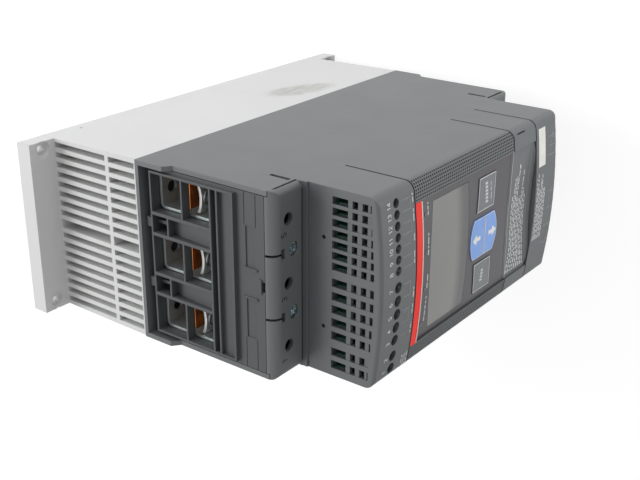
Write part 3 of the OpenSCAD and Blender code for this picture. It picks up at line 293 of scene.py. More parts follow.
@dataclass(frozen=True)
class DarkResin(Finish):
    """Dark moulded resin: painted shade darkens its tight corners, and its front may be duller than its
    sides.
    """

    drift_mm: float = 60.0
    grit_mm: float = 0.45
    grit_height_mm: float = 0.010
    edge_mm: float = 0.3
    rough_spread: float = 0.015
    front_matt: float = 0.0
    crevice_shade_colour: str = "#1E2021"
    shade_reach_mm: float = 1.6
    painted_shade_span: ClassVar[Span] = (0.58, 0.2)
    front_span: ClassVar[Span] = (-0.6, -0.95)

    def paint(self, tree: Tree, coords: Socket) -> Socket:
        """Paints shade into seams and tight corners from ambient occlusion: the tighter the place, the
        darker.

        Args:
            tree: the node tree.
            coords: the place on the object.

        Returns:
            The colour with its painted shade.
        """
        clean = super().paint(tree, coords)
        # Painted shade: ambient occlusion darkens the colour in seams and tight corners.
        open_share = add(tree, "AmbientOcclusion", {"Distance": self.shade_reach_mm * MM}, out="AO", samples=6)
        painted_shade = add(tree, "MapRange", {0: open_share, 1: self.painted_shade_span[0], 2: self.painted_shade_span[1]})
        return add(tree, "Mix", {0: painted_shade, 6: clean, 7: linear(self.crevice_shade_colour)}, out=2, data_type="RGBA")

    def gloss(self, tree: Tree, coords: Socket) -> Socket | float:
        """Dulls the faces that look to the front.

        Args:
            tree: the node tree.
            coords: the place on the object.

        Returns:
            The roughness.
        """
        even = super().gloss(tree, coords)
        if not self.front_matt:
            return even
        normal = add(tree, "NewGeometry", out="Normal")
        across = add(tree, "SeparateXYZ", {0: normal}, out="Y")
        start, full = self.front_span
        matt = add(tree, "MapRange", {0: across, 1: start, 2: full, 4: self.front_matt})
        return add(tree, "Math", {0: even, 1: matt}, operation="ADD")


@dataclass(frozen=True)
class PaintedShadeFinish(Finish):
    """Painted shade for a pit or a seam: a rough finish whose dark colour stands in for the shade there."""

    roughness: float = 0.9
    specular: float = 0.1
    drift_mm: float = 10.0
    grit_mm: float = 0.3
    grit_height_mm: float = 0.003
    edge_mm: float = 0.02


@dataclass(frozen=True)
class Ink(Finish):
    """Screen-printed ink: matt, with a slightly uneven film."""

    roughness: float = 0.6
    specular: float = 0.3
    drift_mm: float = 1.5
    grit_mm: float = 0.2
    grit_height_mm: float = 0.004
    edge_mm: float = 0.02


@dataclass(frozen=True)
class Film(Finish):
    """Printed film: smooth and satin."""

    roughness: float = 0.42
    drift_mm: float = 12.0
    grit_mm: float = 0.3
    grit_height_mm: float = 0.003
    edge_mm: float = 0.2


@dataclass(frozen=True)
class WindowWithPaintedShade(Finish):
    """Tinted window over an unlit display, with painted shade that darkens it towards its lower edge."""

    shade: str = "#565557"
    fade_z_mm: Span = (21.5, 11.5)

    def paint(self, tree: Tree, coords: Socket) -> Socket:
        """Paints shade: fades the colour to a darker shade along Z, towards the window's lower edge.

        Args:
            tree: the node tree.
            coords: the place on the object.

        Returns:
            The colour.
        """
        # Painted shade: the window darkens towards its lower edge.
        height = add(tree, "SeparateXYZ", {0: coords}, out="Z")
        start, end = (v * MM for v in self.fade_z_mm)
        fade = add(tree, "MapRange", {0: height, 1: start, 2: end}, interpolation_type="SMOOTHSTEP")
        return add(tree, "Mix", {0: fade, 6: super().paint(tree, coords), 7: linear(self.shade)}, out=2,
                   data_type="RGBA")


@dataclass(frozen=True)
class Metal(Finish):
    """Bare or plated metal."""

    metallic: float = 1.0


@dataclass(frozen=True)
class ThreadedSteel(Metal):
    """Plated steel with thread bands round a screw that lies along the depth."""

    pitch_mm: float = 1.5
    thread_d_mm: Span = (99.0, 124.0)
    thread_mm: float = 0.35

    def relief(self, tree: Tree, coords: Socket) -> Socket:
        """Adds the thread: a ridge for each pitch of depth, between two depths.

        Args:
            tree: the node tree.
            coords: the place on the object.

        Returns:
            The normal.
        """
        half_pitch = self.pitch_mm * MM / 2
        back, front = (-v * MM for v in self.thread_d_mm)
        depth = add(tree, "SeparateXYZ", {0: coords}, out="Y")
        ridge = add(tree, "Math", {0: depth, 1: half_pitch}, operation="PINGPONG")
        height = add(tree, "Math", {0: ridge, 1: half_pitch}, operation="DIVIDE")
        for limit, test in ((front, "GREATER_THAN"), (back, "LESS_THAN")):
            within = add(tree, "Math", {0: depth, 1: limit}, operation=test)
            height = add(tree, "Math", {0: height, 1: within}, operation="MULTIPLY")
        return add(tree, "Bump", {"Strength": 1.0, "Distance": self.thread_mm * MM, "Height": height,
                                  "Normal": super().relief(tree, coords)})


@dataclass(frozen=True)
class TracedBoard(Finish):
    """Circuit board: solder resist over copper tracks that run on a square grid."""

    track: str = "#2F7A4B"
    track_mm: float = 2.54
    track_rim: Span = (0.32, 0.36)

    def paint(self, tree: Tree, coords: Socket) -> Socket:
        """Lightens the resist where a track lies under it, in cells that are two grid steps wide.

        Args:
            tree: the node tree.
            coords: the place on the object.

        Returns:
            The colour.
        """
        cells = add(tree, "TexVoronoi", {"Vector": coords, "Scale": 1 / (2 * self.track_mm * MM),
                                         "Randomness": 0.6}, distance="CHEBYCHEV")
        track = add(tree, "MapRange", {0: cells, 1: self.track_rim[0], 2: self.track_rim[1]})
        return add(tree, "Mix", {0: track, 6: super().paint(tree, coords), 7: linear(self.track)}, out=2,
                   data_type="RGBA")


# Finishes of this unit

# Light grey ABS, moulded in a spark-eroded tool: an even, dull skin with a grain of about 0.5 mm.
PALE_ABS = HandledPlastic("light_grey_abs_moulded", "#D6D7D6", "#DADBDA", roughness=0.52, specular=0.6,
                          drift_mm=60, grit_mm=0.5, grit_height_mm=0.010, edge_mm=0.5)
# Dark grey polyamide: the sides came out of a polished tool and shine at a low angle, and the front is
# grained and dull.
DARK_PLASTIC = DarkResin("dark_grey_polyamide_moulded", "#525658", "#54585A", roughness=0.42, specular=0.95,
                         front_matt=0.28)
# The same resin in the cable shrouds, which are finer mouldings with a duller skin, and a shade darker as
# painted shade.
SHROUD_PLASTIC = DarkResin("shroud_polyamide_moulded", "#46494B", "#484B4D", roughness=0.55, specular=0.55,
                           edge_mm=0.4, rough_spread=0.02, shade_reach_mm=1.2)
# The terminal covers: the same resin, painted a shade lighter as painted light for the light that they
# catch.
COVER_PLASTIC = DarkResin("cover_polyamide_moulded", "#5B5F60", "#5D6162", roughness=0.45, specular=0.85,
                          front_matt=0.2)
# Painted shade of the moulded pits beside the keypad: rough, near-black discs where the pits' floors lie.
PIT_SHADE = PaintedShadeFinish("pit_shade_painted_rough", "#0B0B0B", "#111111")
# Painted shade in the seams and parting lines: rough, dark ribbons laid over them.
SEAM_SHADE = PaintedShadeFinish("seam_shade_painted", "#1A1B1C", "#1E1F20")
# Printed polyester film over the keypad: smooth satin with a slight violet tone.
KEYPAD_FILM = Film("printed_polyester_film_satin", "#464447", "#4A484B", specular=0.42, drift_mm=25,
                   rough_spread=0.01)
# Grey keys: moulded silicone under the same film, so they have its satin skin with softer edges.
GREY_KEY = Film("grey_key_film_satin", "#65696B", "#696D6F", roughness=0.40, grit_height_mm=0.004,
                edge_mm=0.3)
# Blue keys: the same moulding, printed light blue.
BLUE_KEY = Film("blue_key_film_satin", "#779DDC", "#7CA2DF", specular=0.4, grit_height_mm=0.004, edge_mm=0.3)
# Red printed film: even and satin.
RED_FILM = Film("red_printed_film_satin", "#F62A1C", "#F83022", roughness=0.5, specular=0.25, drift_mm=20)
# Tinted acrylic window, cast and polished, over the unlit display: a flat grey, with painted shade at its
# foot.
WINDOW = WindowWithPaintedShade("tinted_acrylic_window", "#7B7B79", "#7E7E7C", roughness=0.34, ior=1.49, drift_mm=60,
                     grit_mm=2.0, grit_height_mm=0.0005, edge_mm=0.15, rough_spread=0.0)
# Display module: a pressed frame round smooth grey glass.
DISPLAY = Finish("display_module_glass", "#8C8F88", "#93968F", roughness=0.2, grit_height_mm=0.001)
# Black glass-filled polyamide of the fan and the relays: matt and slightly mottled.
BLACK_PLASTIC = Finish("black_polyamide_moulded", "#17181A", "#1E1F21", grit_mm=0.5, grit_height_mm=0.015)
# Epoxy-filled housing of the power modules: black and fairly glossy.
MODULE_EPOXY = Finish("module_epoxy_moulded", "#1F1C1B", "#262220", roughness=0.35, grit_height_mm=0.006)
# Polyamide of the terminal blocks, moulded smooth: a dark green that shows in the wire entries.
TERMINAL_PLASTIC = Finish("terminal_polyamide_moulded", "#2A4C3F", "#305445", roughness=0.42, drift_mm=8,
                          grit_height_mm=0.008, edge_mm=0.2)
# Extruded aluminium: fine lines along the extrusion, which runs along Z.
SINK_ALUMINIUM = Metal("aluminium_extruded", "#BFC1C3", "#C9CBCC", roughness=0.38, drift_mm=30, grit_mm=0.35,
                       grit_height_mm=0.01, grit_stretch=(1.0, 1.0, 0.04))
# Bare rolled copper: warm, with rolling lines along Z and patches of brown oxide.
COPPER = Metal("copper_rolled", "#DE8C4E", "#A05A38", drift_mm=5, grit_mm=0.5, grit_height_mm=0.006,
               grit_stretch=(1.0, 1.0, 0.1), edge_mm=0.2)
# Zinc-plated sheet steel of the clamp cages: bright cut edges, and a grey bloom of passivation that scatters
# part of the light.
CAGE_STEEL = Metal("zinc_plated_sheet_steel", "#BCC6C6", "#C8D1D1", roughness=0.36, metallic=0.7, drift_mm=7,
                   grit_mm=0.5, grit_height_mm=0.006, edge_mm=0.3)
# Tinned spring steel of the saddles: bright and smooth.
SADDLE_STEEL = Metal("tinned_spring_steel", "#F8F8F6", "#F0F0EE", drift_mm=5, grit_height_mm=0.003,
                     edge_mm=0.25)
# Phosphated clamp screws: a dark, dry grey with rolled threads.
SCREW_STEEL = ThreadedSteel("phosphated_screw_steel", "#3C3E40", "#48494B", roughness=0.45, drift_mm=3,
                            grit_height_mm=0.004, edge_mm=0.25)
# Blue-passivated zinc on the small screws: dark steel blue. Its drift colour is near white, so the drift's
# small patches are painted glints. The relief is drawn coarser than the real one, so that the glints of the
# cross recess show.
GLINT_PAINTED_STEEL = Metal("blue_zinc_steel_painted_glints", "#475F71", "#EAF8FC", roughness=0.34, drift_mm=1.3, grit_mm=1.1,
                    grit_height_mm=0.12, edge_mm=0.25)
# Stainless spring sheet of the snap domes: cold-rolled, so grey and silky.
DOME_STEEL = Metal("stainless_spring_sheet", "#B9BABB", "#C4C5C6", roughness=0.28, drift_mm=4, grit_mm=0.3,
                   grit_height_mm=0.003)
# Glass-fibre board under green solder resist: glossy, with lighter tracks under the resist.
BOARD = TracedBoard("glass_fibre_board_resist", "#14482A", "#184F2F", roughness=0.35, drift_mm=20,
                    grit_height_mm=0.006)
# Smoked acrylic light pipes, moulded smooth: nearly as dark as the film when unlit.
PIPE = Finish("smoked_acrylic_light_pipe", "#5A585C", "#605E62", roughness=0.4, ior=1.49, drift_mm=3,
              grit_height_mm=0.001, edge_mm=0.15)
# Screen-printed inks: each is a thin matt film, a little uneven where the mesh laid it down.
PALE_INK = Ink("pale_screen_ink", "#C3C5C5", "#D2D4D3", drift_mm=1.2)
WHITE_INK = Ink("white_screen_ink", "#DCDDD8", "#E6E6E0", roughness=0.55, drift_mm=2)
CREAM_INK = Ink("cream_screen_ink", "#E9D9CF", "#F0E3DA", roughness=0.55, drift_mm=3)
DIM_INK = Ink("dim_screen_ink", "#979A9A", "#A4A7A6")
KEY_INK = Ink("blue_grey_screen_ink", "#BDC3C6", "#C6CBCE")
DARK_INK = Ink("dark_recessed_ink", "#26282A", "#2E3032", drift_mm=1.2)
# Paper label, coated: off-white with a slight tooth.
LABEL_PAPER = Finish("coated_label_paper", "#D8D8D2", "#E0E0DA", specular=0.35, drift_mm=6, grit_mm=0.25,
                     grit_height_mm=0.006, edge_mm=0.05)


# Surfaces


@dataclass(frozen=True)
class Front:
    """The control unit's convex front: a cylinder round an upright axis behind the unit."""

    half_width: float = 0.045
    depth: float = 0.185
    crown: float = 0.0035
    edge: float = 0.005
    far_run: float = 0.2
    run_points: int = 400

    def radius(self) -> float:
        """Gives the cylinder's radius, from its chord and its rise."""
        return (self.half_width ** 2 + self.crown ** 2) / (2 * self.crown)

    def crown_at(self, inset: float) -> Surface:
        """Gives the convex face, moved inwards: y = -(sqrt((R - inset)^2 - x^2) - (R - depth)).

        Args:
            inset: how far the face lies below the crown.

        Returns:
            A function that gives y for arrays of x and z.
        """
        radius = self.radius()

        def face(x: np.ndarray, z: np.ndarray) -> np.ndarray:
            """Evaluates the face, which doesn't change with z."""
            return -(np.sqrt((radius - inset) ** 2 - x ** 2) - (radius - self.depth)) + 0 * z

        return face

    def wrapped(self, run: np.ndarray, lift: float) -> tuple[np.ndarray, np.ndarray]:
        """Lays a run across the front: x = m + r sin t, y = n - r cos t, with (m, n) each bend's middle.

        On the crown the angle is t = asin(run / R); past it the run turns on by its length over the edge's
        radius. After the quarter turn the run goes straight back along the side.

        Args:
            run: the places across the front, measured along its surface.
            lift: how far the result lies outside the surface.

        Returns:
            The places' x and y.
        """
        radius, middle_x = self.radius(), self.half_width - self.edge
        tangent = middle_x * radius / (radius - self.edge)
        middle_y = radius - self.depth - np.sqrt((radius - self.edge) ** 2 - middle_x ** 2)
        past = np.abs(run) > tangent
        on_crown = np.arcsin(np.minimum(np.abs(run), tangent) / radius)
        turned = on_crown + np.maximum(np.abs(run) - tangent, 0.0) / self.edge
        turn = np.minimum(turned, np.pi / 2)
        bend = np.where(past, self.edge, radius) + lift
        x = np.where(past, middle_x, 0.0) + bend * np.sin(turn)
        y = np.where(past, middle_y, radius - self.depth) - bend * np.cos(turn) + (turned - turn) * self.edge
        return np.sign(run) * x, y

    def run_to(self, depth: float) -> float:
        """Gives the run from the front's middle, round its edge, to a depth on the side."""
        runs = np.linspace(self.half_width, self.far_run, self.run_points)
        return float(np.interp(-depth, self.wrapped(runs, 0.0)[1], runs))


def deeper(first: Surface, second: Surface) -> Surface:
    """Gives the face that is left when both faces are cut: y = max(first, second)."""
    return lambda x, z: np.maximum(first(x, z), second(x, z))


def flat_face(depth: float) -> Surface:
    """Gives a plane across the unit: y = -depth for every x and z."""
    return lambda x, z: np.full_like(x, -depth) + 0 * z


def hollow_face(depth: float, top_z: float, lean: float, radius: float) -> Surface:
    """Gives a wide hollow that leans back: y = y0 + (sqrt(r^2 - x^2) - r - (z - z0) sin a) / cos a.

    Args:
        depth: the depth of the hollow's middle line at its upper end, so y0 = -depth.
        top_z: the height z0 of that end.
        lean: the angle a by which the hollow leans back, in radians.
        radius: the hollow's radius.

    Returns:
        A function that gives y for arrays of x and z.
    """

    def face(x: np.ndarray, z: np.ndarray) -> np.ndarray:
        """Evaluates the face."""
        bow = np.sqrt(radius ** 2 - x ** 2) - radius
        return -depth + (bow - (z - top_z) * np.sin(lean)) / np.cos(lean)

    return face


def lattice(rows: int, columns: int) -> np.ndarray:
    """Gives the faces of a grid of points: each point k with neighbours gives (k, k + 1, k + 1 + n, k + n).

    Args:
        rows: the number of rows.
        columns: the number n of points in a row.

    Returns:
        The four corners of each face.
    """
    k = (np.arange(rows - 1)[:, None] * columns + np.arange(columns - 1)[None, :]).ravel()
    return np.stack([k, k + 1, k + 1 + columns, k + columns], axis=1)


def arc(middle: Span, radii: Span, turn: Span, steps: int = 14) -> np.ndarray:
    """Gives points on an ellipse: middle + radii * (cos t, sin t).

    Args:
        middle: the ellipse's middle.
        radii: its two radii.
        turn: the first and the last angle, in degrees.
        steps: the number of points.

    Returns:
        An array of points.
    """
    t = np.radians(np.linspace(turn[0], turn[1], steps))
    return np.stack([middle[0] + radii[0] * np.cos(t), middle[1] + radii[1] * np.sin(t)], axis=1)


def joined(*parts: ArrayLike) -> np.ndarray:
    """Joins arcs and single points to one path."""
    return np.concatenate([np.atleast_2d(part) for part in parts])


# Strokes of plain numerals in a box NUMERAL_WIDTH wide and 1 high
NUMERAL_WIDTH = 0.6
NUMERAL_PITCH = 0.76
NUMERALS: dict[str, list[np.ndarray]] = {
    "0": [arc((0.3, 0.5), (0.3, 0.5), (90, 450), 24)],
    "1": [joined((0.08, 0.78), (0.34, 1.0), (0.34, 0.0))],
    "2": [joined(arc((0.3, 0.72), (0.28, 0.28), (170, -35)), (0.02, 0.0), (0.6, 0.0))],
    "3": [joined(arc((0.28, 0.74), (0.27, 0.26), (150, -80)), arc((0.28, 0.26), (0.31, 0.26), (80, -150)))],
    "4": [joined((0.6, 0.3), (0.0, 0.3), (0.44, 1.0), (0.44, 0.0))],
    "5": [joined((0.55, 1.0), (0.1, 1.0), (0.06, 0.55), arc((0.27, 0.32), (0.31, 0.32), (115, -150)))],
    "6": [joined(arc((0.5, 0.45), (0.48, 0.55), (95, 185)), arc((0.3, 0.3), (0.28, 0.3), (180, -180), 20))],
    "7": [joined((0.0, 1.0), (0.6, 1.0), (0.2, 0.0))],
    "8": [arc((0.3, 0.75), (0.25, 0.25), (-90, 270), 20), arc((0.3, 0.25), (0.3, 0.25), (90, 450), 20)],
    "9": [joined(arc((0.3, 0.7), (0.28, 0.3), (0, 360), 20), arc((0.1, 0.55), (0.48, 0.55), (5, -85)))],
}


def grid_piece(name: str, verts: np.ndarray, quads: np.ndarray, finish: Finish, body: str = MAIN_BODY) -> bpy.types.Object:
    """Puts arrays of points and quads into a mesh object that rides on a body.

    Args:
        name: the piece's name.
        verts: the points, one row each.
        quads: the corners of each face.
        finish: the surface finish.
        body: the CAD body that carries the piece.

    Returns:
        The piece.
    """
    mesh = bpy.data.meshes.new(name)
    mesh.vertices.add(len(verts))
    mesh.vertices.foreach_set("co", verts.astype(np.float32).ravel())
    mesh.loops.add(quads.size)
    mesh.loops.foreach_set("vertex_index", quads.astype(np.int32).ravel())
    mesh.polygons.add(len(quads))
    mesh.polygons.foreach_set("loop_start", np.arange(0, quads.size, 4, dtype=np.int32))
    mesh.update(calc_edges=True)
    mesh.validate()
    piece = bpy.data.objects.new(name, mesh)
    bpy.context.scene.collection.objects.link(piece)
    piece.data.materials.append(finish.material())
    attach(piece, body)
    LOG.info("piece %s: %d faces on %s", name, len(quads), body)
    return piece


@dataclass
class InkSheet:
    """Flat marks in x and z that are laid on a surface as one thin mesh."""

    name: str
    finish: Finish
    surface: Surface
    body: str = MAIN_BODY
    slot: str = DARK_SLOT
    lift: float = 0.00007
    step: float = 0.0009
    points: list[np.ndarray] = field(default_factory=list)
    faces: list[np.ndarray] = field(default_factory=list)
    same_point: ClassVar[float] = 1e-7
    same_row: ClassVar[float] = 1e-9
    no_length: ClassVar[float] = 1e-12
    sharpest_mitre: ClassVar[float] = 0.5
    dash_mm: ClassVar[Span] = (1.2, 3.6)
    gap_mm: ClassVar[Span] = (0.5, 0.9)
    least_dash_mm: ClassVar[float] = 0.5

    def collect(self, points: np.ndarray, faces: np.ndarray) -> None:
        """Adds a patch to the sheet.

        Args:
            points: the patch's points, in x and z.
            faces: its faces, counted from its own first point.
        """
        start = sum(len(p) for p in self.points)
        self.points.append(points)
        self.faces.append(faces + start)

    def stroke(self, path: ArrayLike, width: float) -> None:
        """Carries a flat profile along a path: each point p gives p - n w/2 and p + n w/2.

        The normal n is mitred, which keeps the stroke's width round a corner.

        Args:
            path: the points of the stroke, in x and z.
            width: the stroke's width w.
        """
        path = np.asarray(path, float)
        apart = np.linalg.norm(np.diff(path, axis=0), axis=1) > self.same_point
        path = path[np.concatenate([[True], apart])]
        run = np.concatenate([[0.0], np.cumsum(np.linalg.norm(np.diff(path, axis=0), axis=1))])
        at = np.union1d(run, np.arange(0.0, run[-1], self.step))
        line = np.stack([np.interp(at, run, path[:, 0]), np.interp(at, run, path[:, 1])], axis=1)
        heading = np.diff(line, axis=0)
        heading /= np.maximum(np.linalg.norm(heading, axis=1, keepdims=True), self.no_length)
        normal = np.stack([-heading[:, 1], heading[:, 0]], axis=1)
        before, after = np.vstack([normal[:1], normal]), np.vstack([normal, normal[-1:]])
        mitre = before + after
        mitre /= np.maximum(np.sum(mitre * after, axis=1, keepdims=True), self.sharpest_mitre)
        half = mitre * width / 2
        self.collect(np.vstack([line - half, line + half]), lattice(2, len(line)))

    def bar(self, x: Span, z: Span) -> None:
        """Adds a filled rectangle, as a stroke along x through its middle height."""
        middle = (z[0] + z[1]) / 2
        self.stroke([(x[0], middle), (x[1], middle)], z[1] - z[0])

    def block(self, x: Span, z: Span) -> None:
        """Adds a filled rectangle as a grid, so that it follows a face that curves both ways.

        Args:
            x: its left and right end.
            z: its lower and upper end.
        """
        columns, rows = (max(2, int(np.ceil((end - start) / self.step)) + 1) for start, end in (x, z))
        u, v = np.meshgrid(np.linspace(x[0], x[1], columns), np.linspace(z[0], z[1], rows))
        self.collect(np.stack([u.ravel(), v.ravel()], axis=1), lattice(rows, columns))

    def outline(self, corners: ArrayLike, width: float) -> None:
        """Adds a closed outline, as a stroke that starts and ends in the middle of the first side.

        Args:
            corners: the outline's corners, in x and z.
            width: the width of its line.
        """
        ring = np.vstack([corners, corners[:1]])
        middle = (ring[0] + ring[1]) / 2
        self.stroke(joined(middle, ring[1:], middle), width)

    def number(self, text: str, x: float, z: float, height: float, width: float) -> None:
        """Adds upright numerals about a middle.

        Args:
            text: the digits.
            x: the middle's place across the unit.
            z: the middle's height.
            height: the height of a numeral.
            width: the width of a stroke.
        """
        pitch = NUMERAL_PITCH * height
        left = x - (pitch * (len(text) - 1) + NUMERAL_WIDTH * height) / 2
        for i, digit in enumerate(text):
            for path in NUMERALS[digit]:
                self.stroke(path * height + np.array([left + i * pitch, z - height / 2]), width)

    def rows(self, x: Span, z: Span, pitch: float, height: float, seed: int, fill: float) -> None:
        """Adds plain rows of dashes of uneven length, as rows of small print look from afar.

        Args:
            x: the left and right end of the rows.
            z: the lowest and highest row.
            pitch: the distance from row to row.
            height: the height of a dash.
            seed: the seed of the dashes' lengths.
            fill: the least share of its full length that a row reaches.
        """
        lengths = np.random.default_rng(seed)
        for middle in np.arange(z[1], z[0] - self.same_row, -pitch):
            end = x[0] + (x[1] - x[0]) * lengths.uniform(fill, 1.0)
            at = x[0]
            while at < end:
                dash = min(lengths.uniform(*self.dash_mm) * MM, end - at)
                if dash > self.least_dash_mm * MM:
                    self.bar((at, at + dash), (middle - height / 2, middle + height / 2))
                at += dash + lengths.uniform(*self.gap_mm) * MM

    def dashes(self, spans: Iterable[Span], z: float, height: float, seed: int) -> None:
        """Adds one full row of dashes in each span.

        Args:
            spans: the left and right end of each row.
            z: the height of all the rows.
            height: the height of a dash.
            seed: the seed of the first row; each next row has the next number.
        """
        for i, span in enumerate(spans):
            self.rows(span, (z, z), height, height, seed + i, 1.0)

    def finished(self) -> bpy.types.Object:
        """Lays the marks on the surface, a hair above it, and makes them a piece that rides on its body.

        Returns:
            The piece.
        """
        flat = np.vstack(self.points)
        x, z = flat[:, 0], flat[:, 1]
        verts = np.stack([x, self.surface(x, z) - self.lift, z], axis=1)
        return grid_piece(self.name, verts, np.vstack(self.faces), self.finish, self.body)


# Sub-assemblies


@dataclass
class Assembly:
    """CAD nodes that belong together, each with its finish."""

    finishes: ClassVar[dict[str, Finish]] = {}

    def node_finishes(self) -> dict[str, Finish]:
        """Gives each node's finish by the node's name."""
        return self.finishes

    def dress(self) -> None:
        """Gives each node its finish through its material slots."""
        for name, finish in self.node_finishes().items():
            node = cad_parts[name]
            node.data.materials.clear()
            node.data.materials.append(finish.material())
            LOG.info("node %s: %s", name, finish.name)

    def build(self) -> None:
        """Makes the assembly's own pieces; some have none."""


@dataclass
class BaseStack(Assembly):
    """The louvred base with its heat sink, fan and screws."""

    finishes: ClassVar[dict[str, Finish]] = {
        "base_housing": PALE_ABS, "heat_sink": SINK_ALUMINIUM, "fan_frame": BLACK_PLASTIC,
        "fan_rotor": BLACK_PLASTIC, "housing_screws": GLINT_PAINTED_STEEL}


@dataclass
class PowerStage(Assembly):
    """The main housing with the power modules, bus bars, relays and sensors in it."""

    finishes: ClassVar[dict[str, Finish]] = {
        "main_housing": DARK_PLASTIC, "middle_bus_bar": COPPER, "power_board": BOARD,
        "pressure_saddles": SADDLE_STEEL, "cover_screws": GLINT_PAINTED_STEEL} | {
        f"{name}_{side}": finish for side in ("left", "right") for name, finish in (
            ("thyristor", MODULE_EPOXY), ("line_bus_bar", COPPER), ("load_bus_bar", COPPER),
            ("bypass_relay", BLACK_PLASTIC), ("current_sensor", BLACK_PLASTIC))}


@dataclass
class TerminalEnd(Assembly):
    """One end of the main housing: its cable shroud, cover, clamp cages and clamp screws."""

    end: End
    pole_pitch: float = 0.0304
    cover_depth: float = 0.1432
    mark_z: float = 0.0978
    mark_aside: float = 0.0066
    mark_height: float = 0.0032
    stroke: float = 0.00042
    parting_half: float = 0.0418
    parting_width: float = 0.0006

    def named(self, piece: str) -> str:
        """Puts the end's name before a piece's name."""
        return f"{self.end.name.lower()}_{piece}"

    def node_finishes(self) -> dict[str, Finish]:
        """Gives each node's finish by the node's name.

        Returns:
            The finishes.
        """
        found = {self.named("cable_shroud"): SHROUD_PLASTIC, self.named("terminal_cover"): COVER_PLASTIC}
        for place in ("left", "middle", "right"):
            found[self.named(f"cage_{place}")] = CAGE_STEEL
            found[self.named(f"screw_{place}")] = SCREW_STEEL
        return found

    def build(self) -> None:
        """Marks the cover: odd numbers (line end) or even ones (load end), and painted shade on its parting
        line.
        """
        face = flat_face(self.cover_depth)
        sheet = InkSheet(self.named("pole_numbers"), DARK_INK, face)
        first = 1 if self.end is End.LINE else 2
        z = self.end.value * self.mark_z
        for i, x in enumerate((-self.pole_pitch, 0.0, self.pole_pitch)):
            sheet.number(str(first + 2 * i), x - self.mark_aside, z, self.mark_height, self.stroke)
        sheet.finished()
        low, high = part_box(self.named("terminal_cover"))
        inner = min(abs(low[2]), abs(high[2])) * self.end.value
        # Painted shade: a dark line along the cover's parting line.
        parting = InkSheet(self.named("cover_parting_shade"), SEAM_SHADE, face)
        parting.stroke([(-self.parting_half, inner), (self.parting_half, inner)], self.parting_width)
        parting.finished()


@dataclass(frozen=True)
class ContactSketch:
    """Thin leaders below a row of terminals, some joined in pairs by a contact with a slanted lever."""

    top: float
    foot: float
    lever: Span
    pairs: tuple[tuple[int, int], ...]
    drop: float = 0.0012

    def draw(self, lines: InkSheet, poles: np.ndarray, width: float) -> None:
        """Draws the leaders, then each pair's lever and the bridge below its feet.

        Args:
            lines: the sheet that gets the lines.
            poles: the terminals' places across the unit.
            width: the lines' width.
        """
        for x in poles:
            lines.stroke([(x, self.top), (x, self.foot)], width)
        low = self.foot - self.drop
        for a, b in self.pairs:
            start, end = (poles[a], self.foot), (poles[b], self.foot)
            lines.stroke([start, (poles[a] - self.lever[0], self.foot + self.lever[1])], width)
            lines.stroke([start, (poles[a], low), (poles[b], low), end], width)


@dataclass(frozen=True)
class WiringSketch:
    """The lower section's sketch: upright wires, bridges between some of them and boxes on some."""

    wires: tuple[float, ...] = (0.0335, 0.0285, 0.0235, 0.0035, -0.0065, -0.0165, -0.0265)
    wire_z: Span = (-0.0745, -0.0822)
    bridges: tuple[Place, ...] = ((0.0235, 0.0335, -0.0768), (-0.0065, 0.0035, -0.0768),
                                  (-0.0265, -0.0165, -0.0802))
    boxes: tuple[float, ...] = (0.0335, 0.0035, -0.0265)
    box_half: float = 0.0012
    box_z: Span = (-0.0800, -0.0785)

    def draw(self, lines: InkSheet, width: float) -> None:
        """Draws the wires, the bridges and the boxes.

        Args:
            lines: the sheet that gets the lines.
            width: the lines' width.
        """
        for x in self.wires:
            lines.stroke([(x, z) for z in self.wire_z], width)
        for left, right, z in self.bridges:
            lines.stroke([(left, z), (right, z)], width)
        low, high = self.box_z
        for x in self.boxes:
            left, right = x - self.box_half, x + self.box_half
            lines.outline([(left, low), (right, low), (right, high), (left, high)], width)


